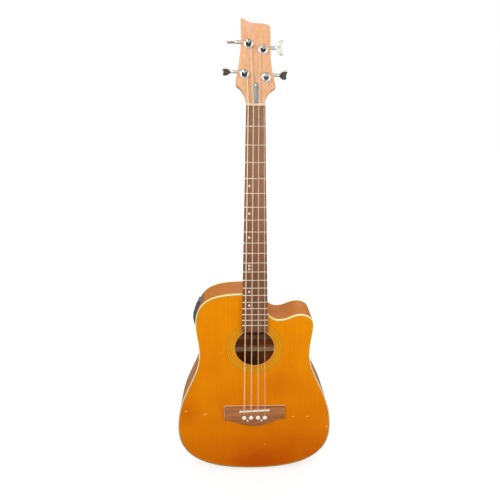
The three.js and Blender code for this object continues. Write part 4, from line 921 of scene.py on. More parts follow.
def addEndPin():
    s = endPinSettings
    rows = [(0, 0.0), (6.2, 0.0), (7.8, 0.5), (s["head"], 1.6), (8.2, 2.7), (6.4, 3.6), (4.9, 4.6), (s["neck"], 6.2),
            (4.5, 7.8), (5.8, 9.4), (8.2, 10.4), (s["collar"], 11.0), (s["collar"], 11.7), (s["neck"], 11.7),
            (s["neck"] - 0.5, s["stand"] + s["shank"]), (0, s["stand"] + s["shank"])]
    dress(turnProfile(rows, 40), "endPin", "chrome", ["end_pin"])


def addJack():
    rows = [(3.4, -3.8), (5.4, -3.8), (5.8, -3.4), (5.8, -2.2), (9.6, -2.0), (10.4, -1.4), (10.5, -0.3), (6, -0.3),
            (6, 22), (8, 22), (8, 34), (6.6, 34), (3.4, 26.5), (3.4, -3.8)]
    jack = turnProfile([(radius, tailZ + height) for radius, height in rows], 40, shift(jackSettings["x"], 0, 0))
    dress(jack, "outputJack", "chrome", ["output_jack"])


addEndPin()
addJack()
print("scene: end pin and jack are built")


# bridge, saddle and pins

bridgeSettings = {"halfWidth": 85, "topEdge": 3, "bassEnd": 38.5, "trebleEnd": 35, "apexX": -1, "apexDrop": 56.5,
                  "flatRun": 14, "edge": 1.6, "line": 1.5, "lineProud": 0.07, "lineSunk": 0.3, "above": 6,
                  "slotX": 42.7, "slotHalf": 1.8, "rampDepth": 1.6, "rampClear": 0.6, "rampStop": 3.5}
saddleSettings = {"length": 85, "width": 3.2, "crown": 14.0, "slope": math.radians(2.6), "centreDrop": 5.6,
                  "slotDepth": 6.0, "bedding": 1.9, "edge": 1.25}


def saddleMatrix():
    return (shift(0, 0, saddleZ - saddleSettings["centreDrop"])
            @ Matrix.Rotation(-saddleSettings["slope"], 4, "Y"))


def crestZ(x):
    # the saddle leans, so each string crosses it at its own height
    return saddleZ - saddleSettings["centreDrop"] + x * math.tan(saddleSettings["slope"])


def inFront(y):
    # picks the edges that lie in the front face
    return lambda a, b: max(a.y, b.y) < (y + 0.1) * mm


def bridgeKnots():
    s, z = bridgeSettings, saddleZ
    w, flat, apex = s["halfWidth"], s["flatRun"], s["apexX"]
    bassEnd, trebleEnd, low = z - s["bassEnd"], z - s["trebleEnd"], z - s["apexDrop"]
    leftDip = ((apex - w) / 2, z - (s["bassEnd"] + s["apexDrop"]) / 2 - flat / 4)
    rightDip = ((apex + w) / 2, z - (s["trebleEnd"] + s["apexDrop"]) / 2 - flat / 4)

    def towards(x, height, target, share=2 / 3):
        return (between(x, target[0], share), between(height, target[1], share))

    return low, [
        (-w, z + s["topEdge"], "VECTOR"), (-w, bassEnd, "VECTOR"),
        (-w + flat, bassEnd, (-w + flat * 0.7, bassEnd), towards(-w + flat, bassEnd, leftDip)),
        (apex - flat, low, towards(apex - flat, low, leftDip), (apex - flat / 3, low)),
        (apex + flat, low, (apex + flat / 3, low), towards(apex + flat, low, rightDip)),
        (w - flat, trebleEnd, towards(w - flat, trebleEnd, rightDip), (w - flat * 0.7, trebleEnd)),
        (w, trebleEnd, "VECTOR"), (w, z + s["topEdge"], "VECTOR"),
    ]


def addBridge():
    s, face = bridgeSettings, bridgeFaceY
    low, knots = bridgeKnots()
    bridge = addOutline(knots, 12)
    growX = 1 + s["line"] / s["halfWidth"]        # bare wood shows where the lacquer stops, above and beside

    def grown(point):
        return (point[0] * growX, low + (point[1] - low) * growX ** 2)

    line = addOutline([(*grown(knot), *(side if isinstance(side, str) else grown(side) for side in knot[2:]))
                       for knot in knots], 12)
    thicken(line, faceY - s["lineProud"], faceY + s["lineSunk"])
    dress(line, "bridgeLine", "bareWood")
    thicken(bridge, face, faceY - glueGap)
    bevelEdges(bridge, inFront(face), s["edge"], 4)
    slot = addBlock((-s["slotX"], face - s["above"], -s["slotHalf"]),
                    (s["slotX"], face + saddleSettings["slotDepth"], s["slotHalf"]))
    combine(bridge, putAt(slot, saddleMatrix()))
    for key in stringNames:
        x, radius, gap = across(key, saddleSpread), stringRadius[key], pinHoleSettings["gap"]
        cutPinHole(bridge, key, face - s["above"], faceY + s["above"])
        rampY = face + s["rampDepth"] + radius + s["rampClear"]
        combine(bridge, addBlock((x - radius - gap, face - s["above"], pinZ),
                                 (x + radius + gap, rampY, crestZ(x) - s["rampStop"])))
    dress(bridge, "bridgeBody", "bridgeWood", ["bridge"])


def addSaddle():
    s = saddleSettings
    crown = faceY - s["crown"]
    saddle = addBlock((-s["length"] / 2, crown, -s["width"] / 2),
                      (s["length"] / 2, bridgeFaceY + s["slotDepth"] - s["bedding"], s["width"] / 2))
    bevelEdges(saddle, inFront(crown), s["edge"], 4)
    dress(putAt(saddle, saddleMatrix()), "saddleBar", "bone", ["saddle"])


pinSettings = {"headRadius": 6.3, "headHeight": 2.6, "length": 22.0}


def addBridgePins():
    s = pinSettings
    high, end = -seatGap - s["headHeight"], -seatGap + s["length"]
    rows = [(0, high), (1.4, high), (3.1, high + 0.16), (4.6, high + 0.55), (5.7, high + 1.2), (6.2, high + 1.9),
            (s["headRadius"], -seatGap - 0.3), (6.0, -seatGap), (2.6, -seatGap), (2.55, -seatGap + 8),
            (2.1, end - 0.6), (1.6, end), (0, end)]
    dressCopies(turnProfile(rows, 32), "bridgePin", "bone",
                lambda key: shift(across(key, saddleSpread), bridgeFaceY, pinZ) @ alongY, "bridge_pin")


dotSettings = {"bridge": [(-19.7, -38.9), (19.8, -38.1)], "bridgeRadius": 2.9}


def addBridgeDots():
    radius = dotSettings["bridgeRadius"]
    dot = turnProfile([(0, -0.08), (2.4, -0.08), (radius, -0.02), (radius, 0.4), (0, 0.4)], 24)
    for index, (x, z) in enumerate(dotSettings["bridge"]):
        one = putAt(copyOf(dot), shift(x, bridgeFaceY, saddleZ + z) @ alongY)
        dress(one, f"bridgeDot{index + 1}", "pearl")
    drop(dot)


addBridge()
addSaddle()
addBridgePins()
addBridgeDots()
print("scene: the bridge is built")


# fretboard, frets, dots and nut

boardSettings = {"endHalf": 35.25, "nutHalf": 22.5, "edge": 0.5, "fretWidth": 2.4, "fretHeight": 1.1, "fretIn": 0.4,
                 "fretEdge": 0.35, "lastMargin": 12.0, "dotRadius": 3.1, "dotX": -15.0, "dotPair": 4.5,
                 "dotFrets": [5, 7, 9, 12, 15, 17], "doubled": 12}
nutSettings = {"above": 0.6, "start": 0.1, "length": 5, "edge": 0.6, "groove": 0.25, "open": 6}


def boardHalf(z):
    return between(boardSettings["nutHalf"], boardSettings["endHalf"], (nutZ - z) / (nutZ - boardZ))


def fretZ(number):
    return saddleZ + scaleLength * 2 ** (-number / 12)


def addFretboard():
    end, nut = boardSettings["endHalf"], boardSettings["nutHalf"]
    board = addOutline([(x, z, "VECTOR") for x, z in ((-end, boardZ), (end, boardZ), (nut, nutZ), (-nut, nutZ))], 1)
    thicken(board, boardFaceY, faceY - glueGap)
    roundEdges(board, boardSettings["edge"], 3)
    dress(board, "fretboardWood", "rosewood", ["fretboard"])


def addFrets():
    s = boardSettings
    bpy.ops.object.select_all(action="DESELECT")
    bpy.ops.mesh.primitive_cylinder_add(vertices=16, radius=1, depth=2)
    fret = putAt(bpy.context.object, alongX)
    cutPlane(fret, (0, 0, 0), (0, 1, 0))
    frets = []
    while fretZ(len(frets) + 1) > boardZ + s["lastMargin"]:
        z = fretZ(len(frets) + 1)
        size = Matrix.Diagonal((boardHalf(z) - s["fretIn"], s["fretHeight"], s["fretWidth"] / 2, 1 / mm)) * mm
        one = putAt(copyOf(fret), shift(0, boardFaceY, z) @ size)
        roundEdges(one, s["fretEdge"], 2, 50)
        frets.append(one)
    drop(fret)
    dress(joinAll(frets), "frets", "fretMetal")


def addDots():
    s = boardSettings
    radius = s["dotRadius"]
    dot = turnProfile([(0, -0.07), (radius - 0.3, -0.07), (radius, -0.01), (radius, 0.4), (0, 0.4)], 28)
    dots = []
    for number in s["dotFrets"]:
        z = (fretZ(number) + fretZ(number - 1)) / 2
        for aside in (-s["dotPair"], s["dotPair"]) if number == s["doubled"] else (0,):
            dots.append(putAt(copyOf(dot), shift(s["dotX"], boardFaceY, z + aside) @ alongY))
    drop(dot)
    dress(joinAll(dots), "boardDots", "pearl")


def nutPlace(key):
    # where a string's middle crosses the nut
    return across(key, nutSpread) + nutShift, boardFaceY - nutAction - stringRadius[key]


def addNut():
    s, half = nutSettings, boardSettings["nutHalf"]
    high = boardFaceY - nutAction - s["above"] - stringRadius["e"]
    nut = addBlock((-half, high, nutZ + s["start"]), (half, faceY - seatGap, nutZ + s["length"]))
    roundEdges(nut, s["edge"], 3)
    for key in stringNames:
        x, y = nutPlace(key)
        groove = addRod(stringRadius[key] + s["groove"], -8, 8, 20, shift(x, y, nutZ + s["length"] / 2))
        startEdit(groove)
        pick("VERT", lambda point: point.co.y < y * mm)
        bpy.ops.transform.translate(value=(0, -s["open"] * mm, 0))
        endEdit()
        combine(nut, groove)
    dress(nut, "nutBone", "nutBone", ["nut"])


addFretboard()
addFrets()
addDots()
addNut()
print("scene: the fretboard is built")


# neck, heel and head

neckSettings = {
    "nutDepth": 15.2, "heelEndDepth": 19.0, "heelDepth": 98.0, "heelOver": 6, "cap": 25.0, "heelLength": 72.0,
    "sweep": 2.2, "start": 562.5, "sides": 64, "heelSteps": 18, "heelCrowd": 1.25, "shaftSteps": 6,
    "headHalf": 47.0, "headLength": 193.5, "headThickness": 15.0, "headEdge": 0.9, "strapY": 22.7,
    "postBore": (7.7, -6, 21, 32), "strapBore": (2.3, 0, 30, 16), "nutShort": 10,
    "channel": ((-3.3, -65, 576.2), (3.3, -46.9, 1041.776)), "rodWell": ((-5, -66, 1038.776), (5, -46.45, 1071.776)),
}
headRight = [
    (0.478, 0), (0.49, 0.035), (0.545, 0.08), (0.65, 0.12), (0.81, 0.157), (0.985, 0.187),
    (1, 0.205), (0.92, 0.285), (0.83, 0.385), (0.76, 0.52), (0.745, 0.66), (0.735, 0.875), (0.715, 0.9),
    (0.66, 0.915), (0.53, 0.926), (0.22, 0.936), (-0.1, 0.942), (-0.32, 0.953), (-0.5, 0.972), (-0.67, 0.996),
]
headLeft = [
    (-0.712, 0.998), (-0.71, 0.8), (-0.735, 0.64), (-0.79, 0.52), (-0.86, 0.4), (-0.975, 0.29), (-0.995, 0.235),
    (-0.95, 0.21), (-0.81, 0.185), (-0.65, 0.135), (-0.545, 0.085), (-0.49, 0.035), (-0.478, 0),
]
machineSettings = {
    "e": {"x": -25.897, "z": 67.5315, "turn": 80, "side": -1},
    "a": {"x": -16.215, "z": 135.2565, "turn": 103, "side": -1},
    "d": {"x": 17.484, "z": 122.292, "turn": 2, "side": 1},
    "g": {"x": 24.393, "z": 59.69475, "turn": 73, "side": 1},
}
gearY, wormDrop, plateY = 22.1, 12.0, 15.3
wormReach = (3 * math.pi * 0.8 + 1.3) / 2          # half the length of the thread


def postMatrix(key):
    return headMatrix @ shift(machineSettings[key]["x"], 0, machineSettings[key]["z"])


def neckDepth(z):
    s = neckSettings
    heelStart = s["start"] + s["cap"]
    heelEnd = heelStart + s["heelLength"]
    along = min(max((z - heelEnd) / (nutZ - heelEnd), 0), 1)
    shaft = between(s["heelEndDepth"], s["nutDepth"], along)
    climb = min(max((z - heelStart) / s["heelLength"], 0), 1)
    return shaft + (s["heelDepth"] + s["heelOver"] - shaft) * (1 - climb) ** s["sweep"]


def addNeckShaft():
    # built level by level in millimetres, then brought to size
    s = neckSettings
    bpy.ops.object.select_all(action="DESELECT")
    bpy.ops.mesh.primitive_circle_add(vertices=s["sides"], radius=1, fill_type="NGON")
    neck = bpy.context.object
    startEdit(neck)
    pick("VERT", lambda point: point.co.y < 0.001)             # the flat side that carries the fretboard
    bpy.ops.transform.resize(value=(1, 0, 1), center_override=(0, 0, 0))
    bpy.ops.mesh.select_mode(type="FACE")
    bpy.ops.mesh.select_all(action="SELECT")
    heelStart = s["start"] + s["cap"]
    heights = [s["start"], heelStart]
    heights += [heelStart + s["heelLength"] * (step / s["heelSteps"]) ** s["heelCrowd"]
                for step in range(1, s["heelSteps"] + 1)]
    heelEnd = heights[-1]
    heights += [between(heelEnd, nutZ - s["nutShort"], step / s["shaftSteps"])
                for step in range(1, s["shaftSteps"] + 1)]
    heights += [nutZ, headZ + 1]
    width, depth, level = 1.0, 1.0, 0.0
    for index, z in enumerate(heights):
        newWidth = max(min(boardHalf(z), boardHalf(s["start"])), s["headHalf"] * headRight[0][0])
        newDepth = neckDepth(z)
        if index:
            bpy.ops.mesh.extrude_region_move(TRANSFORM_OT_translate={"value": (0, 0, z - level)})
        else:
            bpy.ops.transform.translate(value=(0, 0, z))
        bpy.ops.transform.resize(value=(newWidth / width, newDepth / depth, 1), center_override=(0, 0, z))
        width, depth, level = newWidth, newDepth, z
    bpy.ops.mesh.select_all(action="SELECT")
    bpy.ops.transform.resize(value=(mm, mm, mm), center_override=(0, 0, 0))
    bpy.ops.transform.translate(value=(0, faceY * mm, 0))
    bpy.ops.mesh.normals_make_consistent(inside=False)
    endEdit()
    cutPlane(neck, (0, (faceY + s["heelDepth"]) * mm, 0), (0, 1, 0))
    return neck


def addHeadSlab():
    s = neckSettings
    knots = [(x * s["headHalf"], z * s["headLength"], "VECTOR" if index in corners else "AUTO")
             for side, corners in ((headRight, (0, 5, 6, 19)), (headLeft, (0, 6, 12)))
             for index, (x, z) in enumerate(side)]
    head = thicken(addOutline(knots, 6), 0, s["headThickness"])
    bevelEdges(head, lambda a, b: abs(a.y - b.y) < 1e-6 and max(a.z, b.z) > 2 * mm, s["headEdge"], 3)
    return putAt(head, headMatrix)


def addNeck():
    neck = addNeckShaft()
    combine(neck, addHeadSlab(), "UNION")
    s = neckSettings
    for name in ("channel", "rodWell"):
        combine(neck, addBlock(*s[name]))
    for key in machineSettings:
        drill(neck, *s["postBore"], postMatrix(key) @ alongY)
    drill(neck, *s["strapBore"], shift(0, s["strapY"], strapZ) @ alongY)
    dress(neck, "neckBody", "neckWood", ["neck"], smooth=30)


addNeck()
print("scene: the neck is built")


# tuning machines

def unitMatrix(key):
    return postMatrix(key) @ Matrix.Diagonal((machineSettings[key]["side"], 1, 1, 1))


def wormMatrix(key):
    return unitMatrix(key) @ shift(0, gearY, wormDrop)


postSettings = {"shaft": 5.6, "waist": 4.4, "top": 5.2, "rise": 20.0, "waistRise": 14.5, "baseRise": 3.4,
                "slotHalf": 1.5, "slotDepth": 7.0, "slotOver": 3, "slotReach": 9, "wheelReach": 2.02}
buttonSettings = {"end": 51.3, "length": 21.0, "halfSpan": 17.0, "thickness": 3.6, "edge": 1.2, "edgeShares": [
    (0, 0.17), (0.06, 0.23), (0.14, 0.36), (0.25, 0.54), (0.38, 0.76), (0.5, 0.92), (0.62, 0.99), (0.76, 1),
    (0.88, 0.96), (0.97, 0.85), (1, 0.7), (0.975, 0.52), (0.94, 0.32), (0.92, 0.14), (0.915, 0),
]}


def cadBand(node, matrix, axis, reach):
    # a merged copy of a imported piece, free of its ties, cut off beyond a reach to both sides
    band = copyOf(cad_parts[node])
    band.parent = None
    for key in list(band.keys()):
        del band[key]
    closeUp(band)
    for distance in (-reach, reach):
        cutPlane(band, matrix @ (axis * distance * mm), matrix.to_3x3() @ axis, keepInner=distance > 0)
    return closeUp(band)


def addPosts():
    s = postSettings
    rise, waistRise, baseRise, shaft, waist, top = [
        s[name] for name in ("rise", "waistRise", "baseRise", "shaft", "waist", "top")]
    rows = [(0, -rise), (top - 1.0, -rise), (top - 0.3, -rise + 0.25), (top, -rise + 0.9), (top, -waistRise - 1.2),
            (top - 0.3, -waistRise - 0.5), (waist + 0.1, -waistRise + 0.1), (waist, -waistRise + 0.8),
            (waist, -baseRise - 0.4), (waist + 0.5, -baseRise), (shaft, -baseRise + 0.6), (shaft, gearY - 2.6),
            (waist, gearY - 2.6), (waist, gearY + 2.6), (3.4, gearY + 3.6), (0, gearY + 3.6)]
    post = turnProfile(rows, 40, alongY)
    combine(post, addBlock((-s["slotHalf"], -rise - s["slotOver"], -s["slotReach"]),
                           (s["slotHalf"], -rise + s["slotDepth"], s["slotReach"])))
    for key in stringNames:
        gear = cadBand(f"string_post_{key}", headMatrix @ shift(0, gearY, 0), Vector((0, 1, 0)), s["wheelReach"])
        # the posts take the darker steel: painted shade and dark reflection
        dress(putAt(copyOf(post), unitMatrix(key)), f"stringPost_{key}", "shadedPostMetal",
              [f"string_post_{key}"], f"post_{key}")
        dress(gear, f"wormWheel_{key}", "fretMetal", (), f"post_{key}", 25)
    drop(post)


def addWormShafts():
    rows = [(0, -8.5), (1.7, -8.5), (2, -8.2), (2, -4.3), (3, -4.3), (3, 4.3), (2, 4.3), (2, 10.2), (4.0, 10.2),
            (4.2, 10.5), (4.2, 12.1), (4.0, 12.6), (3.6, 13.0), (3.6, 14.0), (4.2, 14.5), (4.2, 15.6), (4.1, 17),
            (4.0, 24), (3.9, 28), (3.7, 31), (2.9, 33), (0, 34)]
    shaft = turnProfile(rows, 28, alongX)
    for key in stringNames:
        thread = cadBand(f"tuning_button_{key}", wormMatrix(key), Vector((1, 0, 0)), wormReach + 0.02)
        dress(putAt(copyOf(shaft), wormMatrix(key)), f"wormShaft_{key}", "buttonMetal",
              [f"tuning_button_{key}"], f"button_{key}")
        dress(thread, f"wormThread_{key}", "fretMetal", (), f"button_{key}", 40)
    drop(shaft)


def addButtons():
    s = buttonSettings
    upper = [(s["end"] - s["length"] * (1 - along), out * s["halfSpan"]) for along, out in s["edgeShares"]]
    lower = [(x, -z) for x, z in reversed(upper[:-1])]
    knots = [(x, z, "VECTOR" if abs(x - upper[0][0]) < 0.01 else "AUTO") for x, z in upper + lower]
    button = thicken(addOutline(knots, 5), -s["thickness"] / 2, s["thickness"] / 2)
    bevelEdges(button, lambda a, b: abs(a.y - b.y) < 1e-6, s["edge"], 3)
    dressCopies(button, "tuningButton", "buttonMetal",
                lambda key: wormMatrix(key) @ Matrix.Rotation(math.radians(machineSettings[key]["turn"]), 4, "X"),
                body="button", smooth=40)


plateSettings = {"low": -11.0, "high": 27.0, "inner": 12.0, "outer": 14.5, "thickness": 1.6, "corner": 2.6,
                 "ear": 2, "earHalf": 4, "earSink": 0.2, "earTop": 5.25, "earCorner": 3.4, "gap": 0.6,
                 "postHole": 5.9, "wormSpace": 5.4, "bore": 2.6, "edge": 0.25}


def addPlates():
    s = plateSettings
    sheet = addBlock((-s["inner"], plateY, s["low"]), (s["outer"], plateY + s["thickness"], s["high"]))
    bevelEdges(sheet, lambda a, b: abs(a.y - b.y) > mm, s["corner"], 5)
    gap = wormReach + s["gap"]
    for low, high in ((-gap - s["ear"], -gap), (gap, gap + s["ear"])):
        ear = addBlock((low, plateY + s["earSink"], wormDrop - s["earHalf"]),
                       (high, gearY + s["earTop"], wormDrop + s["earHalf"]))
        bevelEdges(ear, lambda a, b: abs(a.x - b.x) > mm and a.y > gearY * mm, s["earCorner"], 6)
        combine(sheet, ear, "UNION")
    drill(sheet, s["postHole"], 0, 30, 32, alongY)
    wormAxis = shift(0, gearY, wormDrop) @ alongX
    drill(sheet, s["wormSpace"], -gap, gap, 32, wormAxis)
    drill(sheet, s["bore"], -20, 22, 24, wormAxis)
    roundEdges(sheet, s["edge"], 2, 50)
    dressCopies(sheet, "tunerPlate", "chrome", unitMatrix, "tuner_plate")


ferruleSettings = {"outer": 11.0, "height": 2.8, "inner": 5.9, "sleeve": 7.4, "sleeveLength": 8.0}


def addFerrules():
    s = ferruleSettings
    high = -s["height"]
    rows = [(s["inner"], high + 0.4), (6.3, high + 0.08), (7.2, high), (8.6, high + 0.12), (9.6, high + 0.5),
            (10.4, high + 1.1), (s["outer"], high + 1.9), (s["outer"], -0.3), (s["sleeve"], -0.3),
            (s["sleeve"], s["sleeveLength"]), (s["inner"], s["sleeveLength"]), (s["inner"], high + 0.4)]
    dressCopies(turnProfile(rows, 44, alongY), "ferruleRing", "chrome", unitMatrix, "ferrule")


screwSettings = {"plate": [(-9.0, -8.2), (11.4, -8.2), (11.4, 23.6), (-9.0, 23.6)], "cover": (0.6, -2.1, 41.7)}


def addScrews():
    # small domed cross-slot screws, modelled with the head towards +Z
    screw = turnProfile([(0, 1.05), (0.9, 1.0), (1.7, 0.72), (2.15, 0.3), (2.3, 0.0), (1.1, -0.05), (1.1, -4.0),
                         (0, -4.6)], 24)
    for x, y in ((0.28, 1.5), (1.5, 0.28)):
        combine(screw, addBlock((-x, -y, 0.5), (x, y, 2)))
    surface = plateY + plateSettings["thickness"]
    for key in stringNames:
        screws = [putAt(copyOf(screw), unitMatrix(key) @ shift(x, surface, z) @ alongY)
                  for x, z in screwSettings["plate"]]
        dress(joinAll(screws), f"plateScrews_{key}", "chrome")
    cover = headMatrix @ shift(*screwSettings["cover"]) @ Matrix.Rotation(quarterTurn, 4, "X")
    dress(putAt(copyOf(screw), cover), "coverScrew", "chrome")
    drop(screw)


coverSettings = {"half": 5.9, "start": 0.9, "length": 46.3, "thickness": 1.8, "shift": 0.6, "edge": 0.45}


def addCover():
    s = coverSettings
    top, middle = s["start"] + s["length"], s["shift"]
    arcZ, pull = top - s["half"], s["half"] * 0.5523           # 0.5523 makes a quarter circle
    left, right = middle - s["half"], middle + s["half"]
    knots = [(left, s["start"], "VECTOR"), (right, s["start"], "VECTOR"),
             (right, arcZ, (right, arcZ - 3), (right, arcZ + pull)),
             (middle, top, (middle + pull, top), (middle - pull, top)),
             (left, arcZ, (left, arcZ + pull), (left, arcZ - 3))]
    cover = thicken(addOutline(knots, 10), -seatGap - s["thickness"], -seatGap)
    roundEdges(cover, s["edge"], 3, 50)
    dress(putAt(cover, headMatrix), "trussRodCover", "coverMetal", ["truss_rod_cover"])


def addStrapButton():
    rows = [(0, -16), (2, -16), (2, 0.3), (7.5, 0.3), (7.5, 1.0), (6.6, 1.6), (5.0, 2.4), (4.1, 4.0), (4.0, 7.0),
            (4.4, 8.4), (5.8, 9.4), (7.2, 10.2), (7.5, 10.9), (7.2, 11.7), (6.4, 12.0), (2.4, 12.0), (2.1, 11.4),
            (0, 11.3)]
    knob = turnProfile(rows, 40, shift(0, faceY + neckSettings["heelDepth"], strapZ) @ alongY)
    dress(knob, "strapButton", "chrome", ["strap_button"])


addPosts()
addWormShafts()
addButtons()
addPlates()
addFerrules()
addScrews()
addCover()
addStrapButton()
print("scene: the tuning machines are built")


# strings

stringSettings = {"wrapTurns": 2.04, "wrapSteps": 40, "wrapGap": 0.5, "bend": 1.6, "curveSteps": 5, "sides": 3,
                  "wellGap": 0.6, "plateBack": 6.2, "above": 3.5, "crest": 14.2}


def softened(points, reach):
    # each corner becomes a short curve
    result = [points[0]]
    for before, corner, after in zip(points, points[1:], points[2:]):
        inDir, outDir = (before - corner), (after - corner)
        near = min(reach, inDir.length / 2.2, outDir.length / 2.2)
        start, end = corner + inDir.normalized() * near, corner + outDir.normalized() * near
        for step in range(stringSettings["curveSteps"] + 1):
            t = step / stringSettings["curveSteps"]
            result.append(start.lerp(corner, t).lerp(corner.lerp(end, t), t))
    return result + [points[-1]]


def stringRoute(key):
    s, radius, machine = stringSettings, stringRadius[key], machineSettings[key]
    x = across(key, saddleSpread)
    wellZ = pinZ + pinHoleSettings["shank"] + s["wellGap"] + radius
    nutX, nutY = nutPlace(key)
    points = [
        Vector((x, faceY + s["plateBack"] + s["above"], wellZ)),
        Vector((x, bridgeFaceY + bridgeSettings["rampDepth"] + radius, wellZ)),
        Vector((x, faceY - s["crest"] - radius, crestZ(x))),
        Vector((nutX, nutY, nutZ + nutSettings["length"] + radius)),
    ]
    coil = postSettings["waist"] + seatGap + radius
    pitch = (2 * radius + s["wrapGap"]) / s["wrapSteps"]
    firstY = -postSettings["baseRise"] - seatGap - radius
    wraps = []
    for step in range(round(s["wrapTurns"] * s["wrapSteps"]) + 1):
        angle = 2 * math.pi * step / s["wrapSteps"]
        local = Vector((machine["x"] - machine["side"] * coil * math.cos(angle), firstY - pitch * step,
                        machine["z"] + coil * math.sin(angle)))
        wraps.append(headMatrix @ (local * mm) / mm)
    return [point * mm for point in softened(points + [wraps[0]], s["bend"]) + wraps[1:]], len(wraps)


def markAlong(obj, route, wrapPoints):
    # the distance along the string for the winding's ribs, and where its end winds round the post, which is painted
    # nearly black, partly as silk and partly as the shade inside the ferrule
    lengths = [0.0]
    for before, after in zip(route, route[1:]):
        lengths.append(lengths[-1] + (after - before).length)
    wrapStart = lengths[-wrapPoints] + 1 * mm
    for name in ("along", "wrapped"):
        obj.data.attributes.new(name, "FLOAT", "POINT")
    marks, wraps = obj.data.attributes["along"].data, obj.data.attributes["wrapped"].data
    for point, mark, wrap in zip(obj.data.vertices, marks, wraps):
        best, bestAway = 0.0, 1e9
        for start, end, base in zip(route, route[1:], lengths):
            step = end - start
            share = min(max((point.co - start).dot(step) / step.length_squared, 0), 1)
            away = (start + step * share - point.co).length_squared
            if away < bestAway:
                best, bestAway = base + share * step.length, away
        mark.value = best
        wrap.value = 1.0 if best > wrapStart else 0.0


def addString(key):
    route, wrapPoints = stringRoute(key)
    bpy.ops.object.select_all(action="DESELECT")
    bpy.ops.curve.primitive_nurbs_path_add(location=(0, 0, 0))
    curve = bpy.context.object.data
    curve.splines.clear()
    spline = curve.splines.new("POLY")
    spline.points.add(len(route) - 1)
    for point, at in zip(spline.points, route):
        point.co = (*at, 1)
    curve.dimensions = "3D"
    curve.bevel_depth = stringRadius[key] * mm
    curve.bevel_resolution = stringSettings["sides"]
    curve.use_fill_caps = True
    bpy.ops.object.convert(target="MESH")
    wire = closeUp(bpy.context.object)
    markAlong(wire, route, wrapPoints)
    dress(wire, f"stringWire_{key}", "stringWinding", [f"string_{key}"], smooth=50)
    ball = turnProfile([(0, -1.6), (1.9, -1.6), (2.4, -1.1), (2.4, 1.1), (1.9, 1.6), (0, 1.6)], 24,
                       Matrix.Translation(route[0]) @ shift(0, 0, 2.4 - stringRadius[key]) @ alongY)
    dress(ball, f"ballEnd_{key}", "fretMetal")


for stringKey in stringNames:
    addString(stringKey)
print("scene: the strings are strung")


# preamplifier

def sideStrip(lowZ, highZ, lowY, highY):
    # the curved outside of the bass side between two heights
    strip = thicken(copyOf(bodyOutline), lowY, highY)
    startEdit(strip)
    pick("FACE", lambda face: abs(face.normal.y) > 0.5)
    bpy.ops.mesh.delete(type="FACE")
    endEdit()
    cutPlane(strip, (0, 0, lowZ * mm), (0, 0, 1), fill=False, keepInner=False)
    cutPlane(strip, (0, 0, highZ * mm), (0, 0, 1), fill=False)
    cutPlane(strip, (-0.1, 0, 0), (1, 0, 0), fill=False)
    return strip


def addPod(lowY, highY):
    # the arched front of the preamplifier, cut from a wide drum
    s = preampSettings
    pod = addRod(s["arcRadius"], lowY, highY, 160, shift(s["arcX"], 0, s["z"] - s["arcDrop"]) @ alongY)
    cutPlane(pod, (s["arcX"] * mm, 0, 0), (1, 0, 0))
    cutPlane(pod, (0, 0, (s["z"] - s["below"]) * mm), (0, 0, -1))
    cutPlane(pod, (0, 0, (s["z"] + s["above"]) * mm), (0, 0, 1))
    return pod


def drawerBlocks(gap):
    # the tray and its wider face, grown by a gap where they are used as a cutter
    s = preampSettings
    outX, y, z = gap - bodySettings["upperHalf"], s["y"] + s["drawerRow"], s["z"]
    return [addBlock((-200, y - high, z - long), (outX + depth, y + high, z + long))
            for high, long, depth in [(s["drawerHeight"] / 2 + gap + rim, s["drawerLength"] / 2 + gap + rim, depth)
                                      for rim, depth in ((0, s["drawerDepth"]), (s["faceRim"], s["faceDepth"]))]]


def knobMatrix(index):
    s = preampSettings
    z = s["z"] + (index - (s["knobs"] - 1) / 2) * s["knobPitch"]
    climb = math.asin((z - s["z"] + s["arcDrop"]) / s["arcRadius"])
    facing = Vector((-math.cos(climb), 0, math.sin(climb)))
    at = Vector((s["arcX"], s["y"] + s["knobRow"], s["z"] - s["arcDrop"])) + facing * s["arcRadius"]
    return shift(*at) @ facing.to_track_quat("Z", "Y").to_matrix().to_4x4()


def addPreamp():
    s = preampSettings
    half, high = s["length"] / 2, s["height"] / 2
    panel = sideStrip(s["z"] - half, s["z"] + half, s["y"] - high, s["y"] + high)
    startEdit(panel)
    bpy.ops.mesh.normals_make_consistent(inside=False)
    pick("FACE", lambda face: face.normal.x > 0)
    bpy.ops.mesh.flip_normals()
    bpy.ops.mesh.select_all(action="SELECT")
    bpy.ops.transform.shrink_fatten(value=s["seat"] * mm)
    endEdit()
    closeUp(applyModifier(panel, "SOLIDIFY", thickness=s["panel"] * mm, offset=1))
    pod = addPod(s["y"] - s["arcHeight"] / 2, s["y"] + s["arcHeight"] / 2)
    inside = thicken(copyOf(bodyOutline), -s["beyond"], s["beyond"])
    startEdit(inside)
    bpy.ops.transform.shrink_fatten(value=s["lift"] * mm)
    endEdit()
    combine(pod, inside)
    combine(panel, pod, "UNION")
    for cutter in drawerBlocks(s["gap"]):
        combine(panel, cutter)
    for index in range(s["knobs"]):
        drill(panel, s["wellRadius"], -s["knobSink"] - s["seat"], 6, 40, knobMatrix(index))
    roundEdges(panel, s["edge"], 3, 40)
    dress(panel, "preampPanel", "greyPlastic", ["preamp_housing"])
    case = caseBlock(-bodySettings["upperHalf"] + s["faceDepth"] + s["caseGap"], 0, s["boxDepth"])
    roundEdges(case, s["caseRound"], 3)
    tray, face = drawerBlocks(s["gap"])
    drop(face)
    combine(case, tray)
    dress(case, "preampCase", "blackPlastic")


drawerSettings = {"notch": 6, "notchHalf": 3, "edge": 0.5}


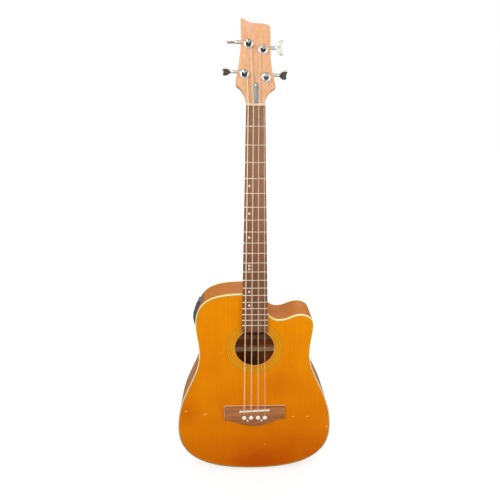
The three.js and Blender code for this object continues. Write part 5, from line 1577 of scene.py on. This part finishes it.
def addDrawer():
    s, p = drawerSettings, preampSettings
    tray, face = drawerBlocks(0)
    combine(tray, face, "UNION")
    combine(tray, addPod(-60, 60), "INTERSECT")
    notchAt = shift(p["arcX"] - p["arcRadius"], p["y"] + p["drawerRow"], p["z"] - p["drawerLength"] / 2 - 1)
    drill(tray, s["notch"], -s["notchHalf"], s["notchHalf"], 40, notchAt @ alongX)
    roundEdges(tray, s["edge"], 3, 40)
    dress(tray, "batteryDrawer", "blackPlastic", ["battery_drawer"], "drawer")


knobSettings = {"radius": 6.2, "stand": 1.3, "grips": 18, "gripDepth": 0.3, "gripEdge": 0.1}


def addKnobs():
    s, low, high = knobSettings, -preampSettings["knobSink"], knobSettings["stand"]
    radius, step = s["radius"], math.pi / s["grips"]
    knob = turnProfile([(0, low), (radius - 0.4, low), (radius, low + 0.4), (radius, high - 1.3),
                        (radius - 0.35, high - 0.5), (radius - 1.2, high), (radius - 2.0, high - 0.1),
                        (0, high - 0.5)], 72)

    def inGrip(face):
        # every other stretch of the knob's side
        middle = face.calc_center_median()
        return abs(face.normal.z) < 0.2 and int(math.atan2(middle.y, middle.x) / step + 40) % 2 == 0

    startEdit(knob)
    pick("FACE", inGrip)
    bpy.ops.mesh.inset(thickness=s["gripEdge"] * mm)
    bpy.ops.transform.shrink_fatten(value=-s["gripDepth"] * mm)
    endEdit()
    combine(knob, addBlock((-0.45, 1.2, high - 0.75), (0.45, radius - 0.5, high + 1)))
    mark = addBlock((-0.4, 1.3, high - 0.75), (0.4, radius - 0.9, high - 0.35))
    for index in range(preampSettings["knobs"]):
        body = f"knob_body_{index + 1}"
        dress(putAt(copyOf(knob), knobMatrix(index)), f"knobCap{index + 1}", "blackPlastic",
              [f"knob_{index + 1}"], body)
        dress(putAt(copyOf(mark), knobMatrix(index)), f"knobMark{index + 1}", "bone", (), body)
    drop(knob)
    drop(mark)


addPreamp()
addDrawer()
addKnobs()
drop(bodyOutline)
print("scene: the preamplifier is built")


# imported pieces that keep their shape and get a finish

keptLooks = {
    "innerWood": ["top_lining", "back_lining", "neck_block", "tail_block", "x_brace", "upper_brace", "bridge_plate"],
    "braceWood": ["back_brace_1", "back_brace_2", "back_brace_3", "back_brace_4"],
    "stripWood": ["back_strip"],
    "steel": ["truss_rod", "truss_rod_nut", "saddle_pickup"],
}
for lookName, nodeNames in keptLooks.items():
    for nodeName in nodeNames:
        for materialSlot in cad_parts[nodeName].material_slots:
            materialSlot.material = looks[lookName]
print("scene: packed pieces are finished")
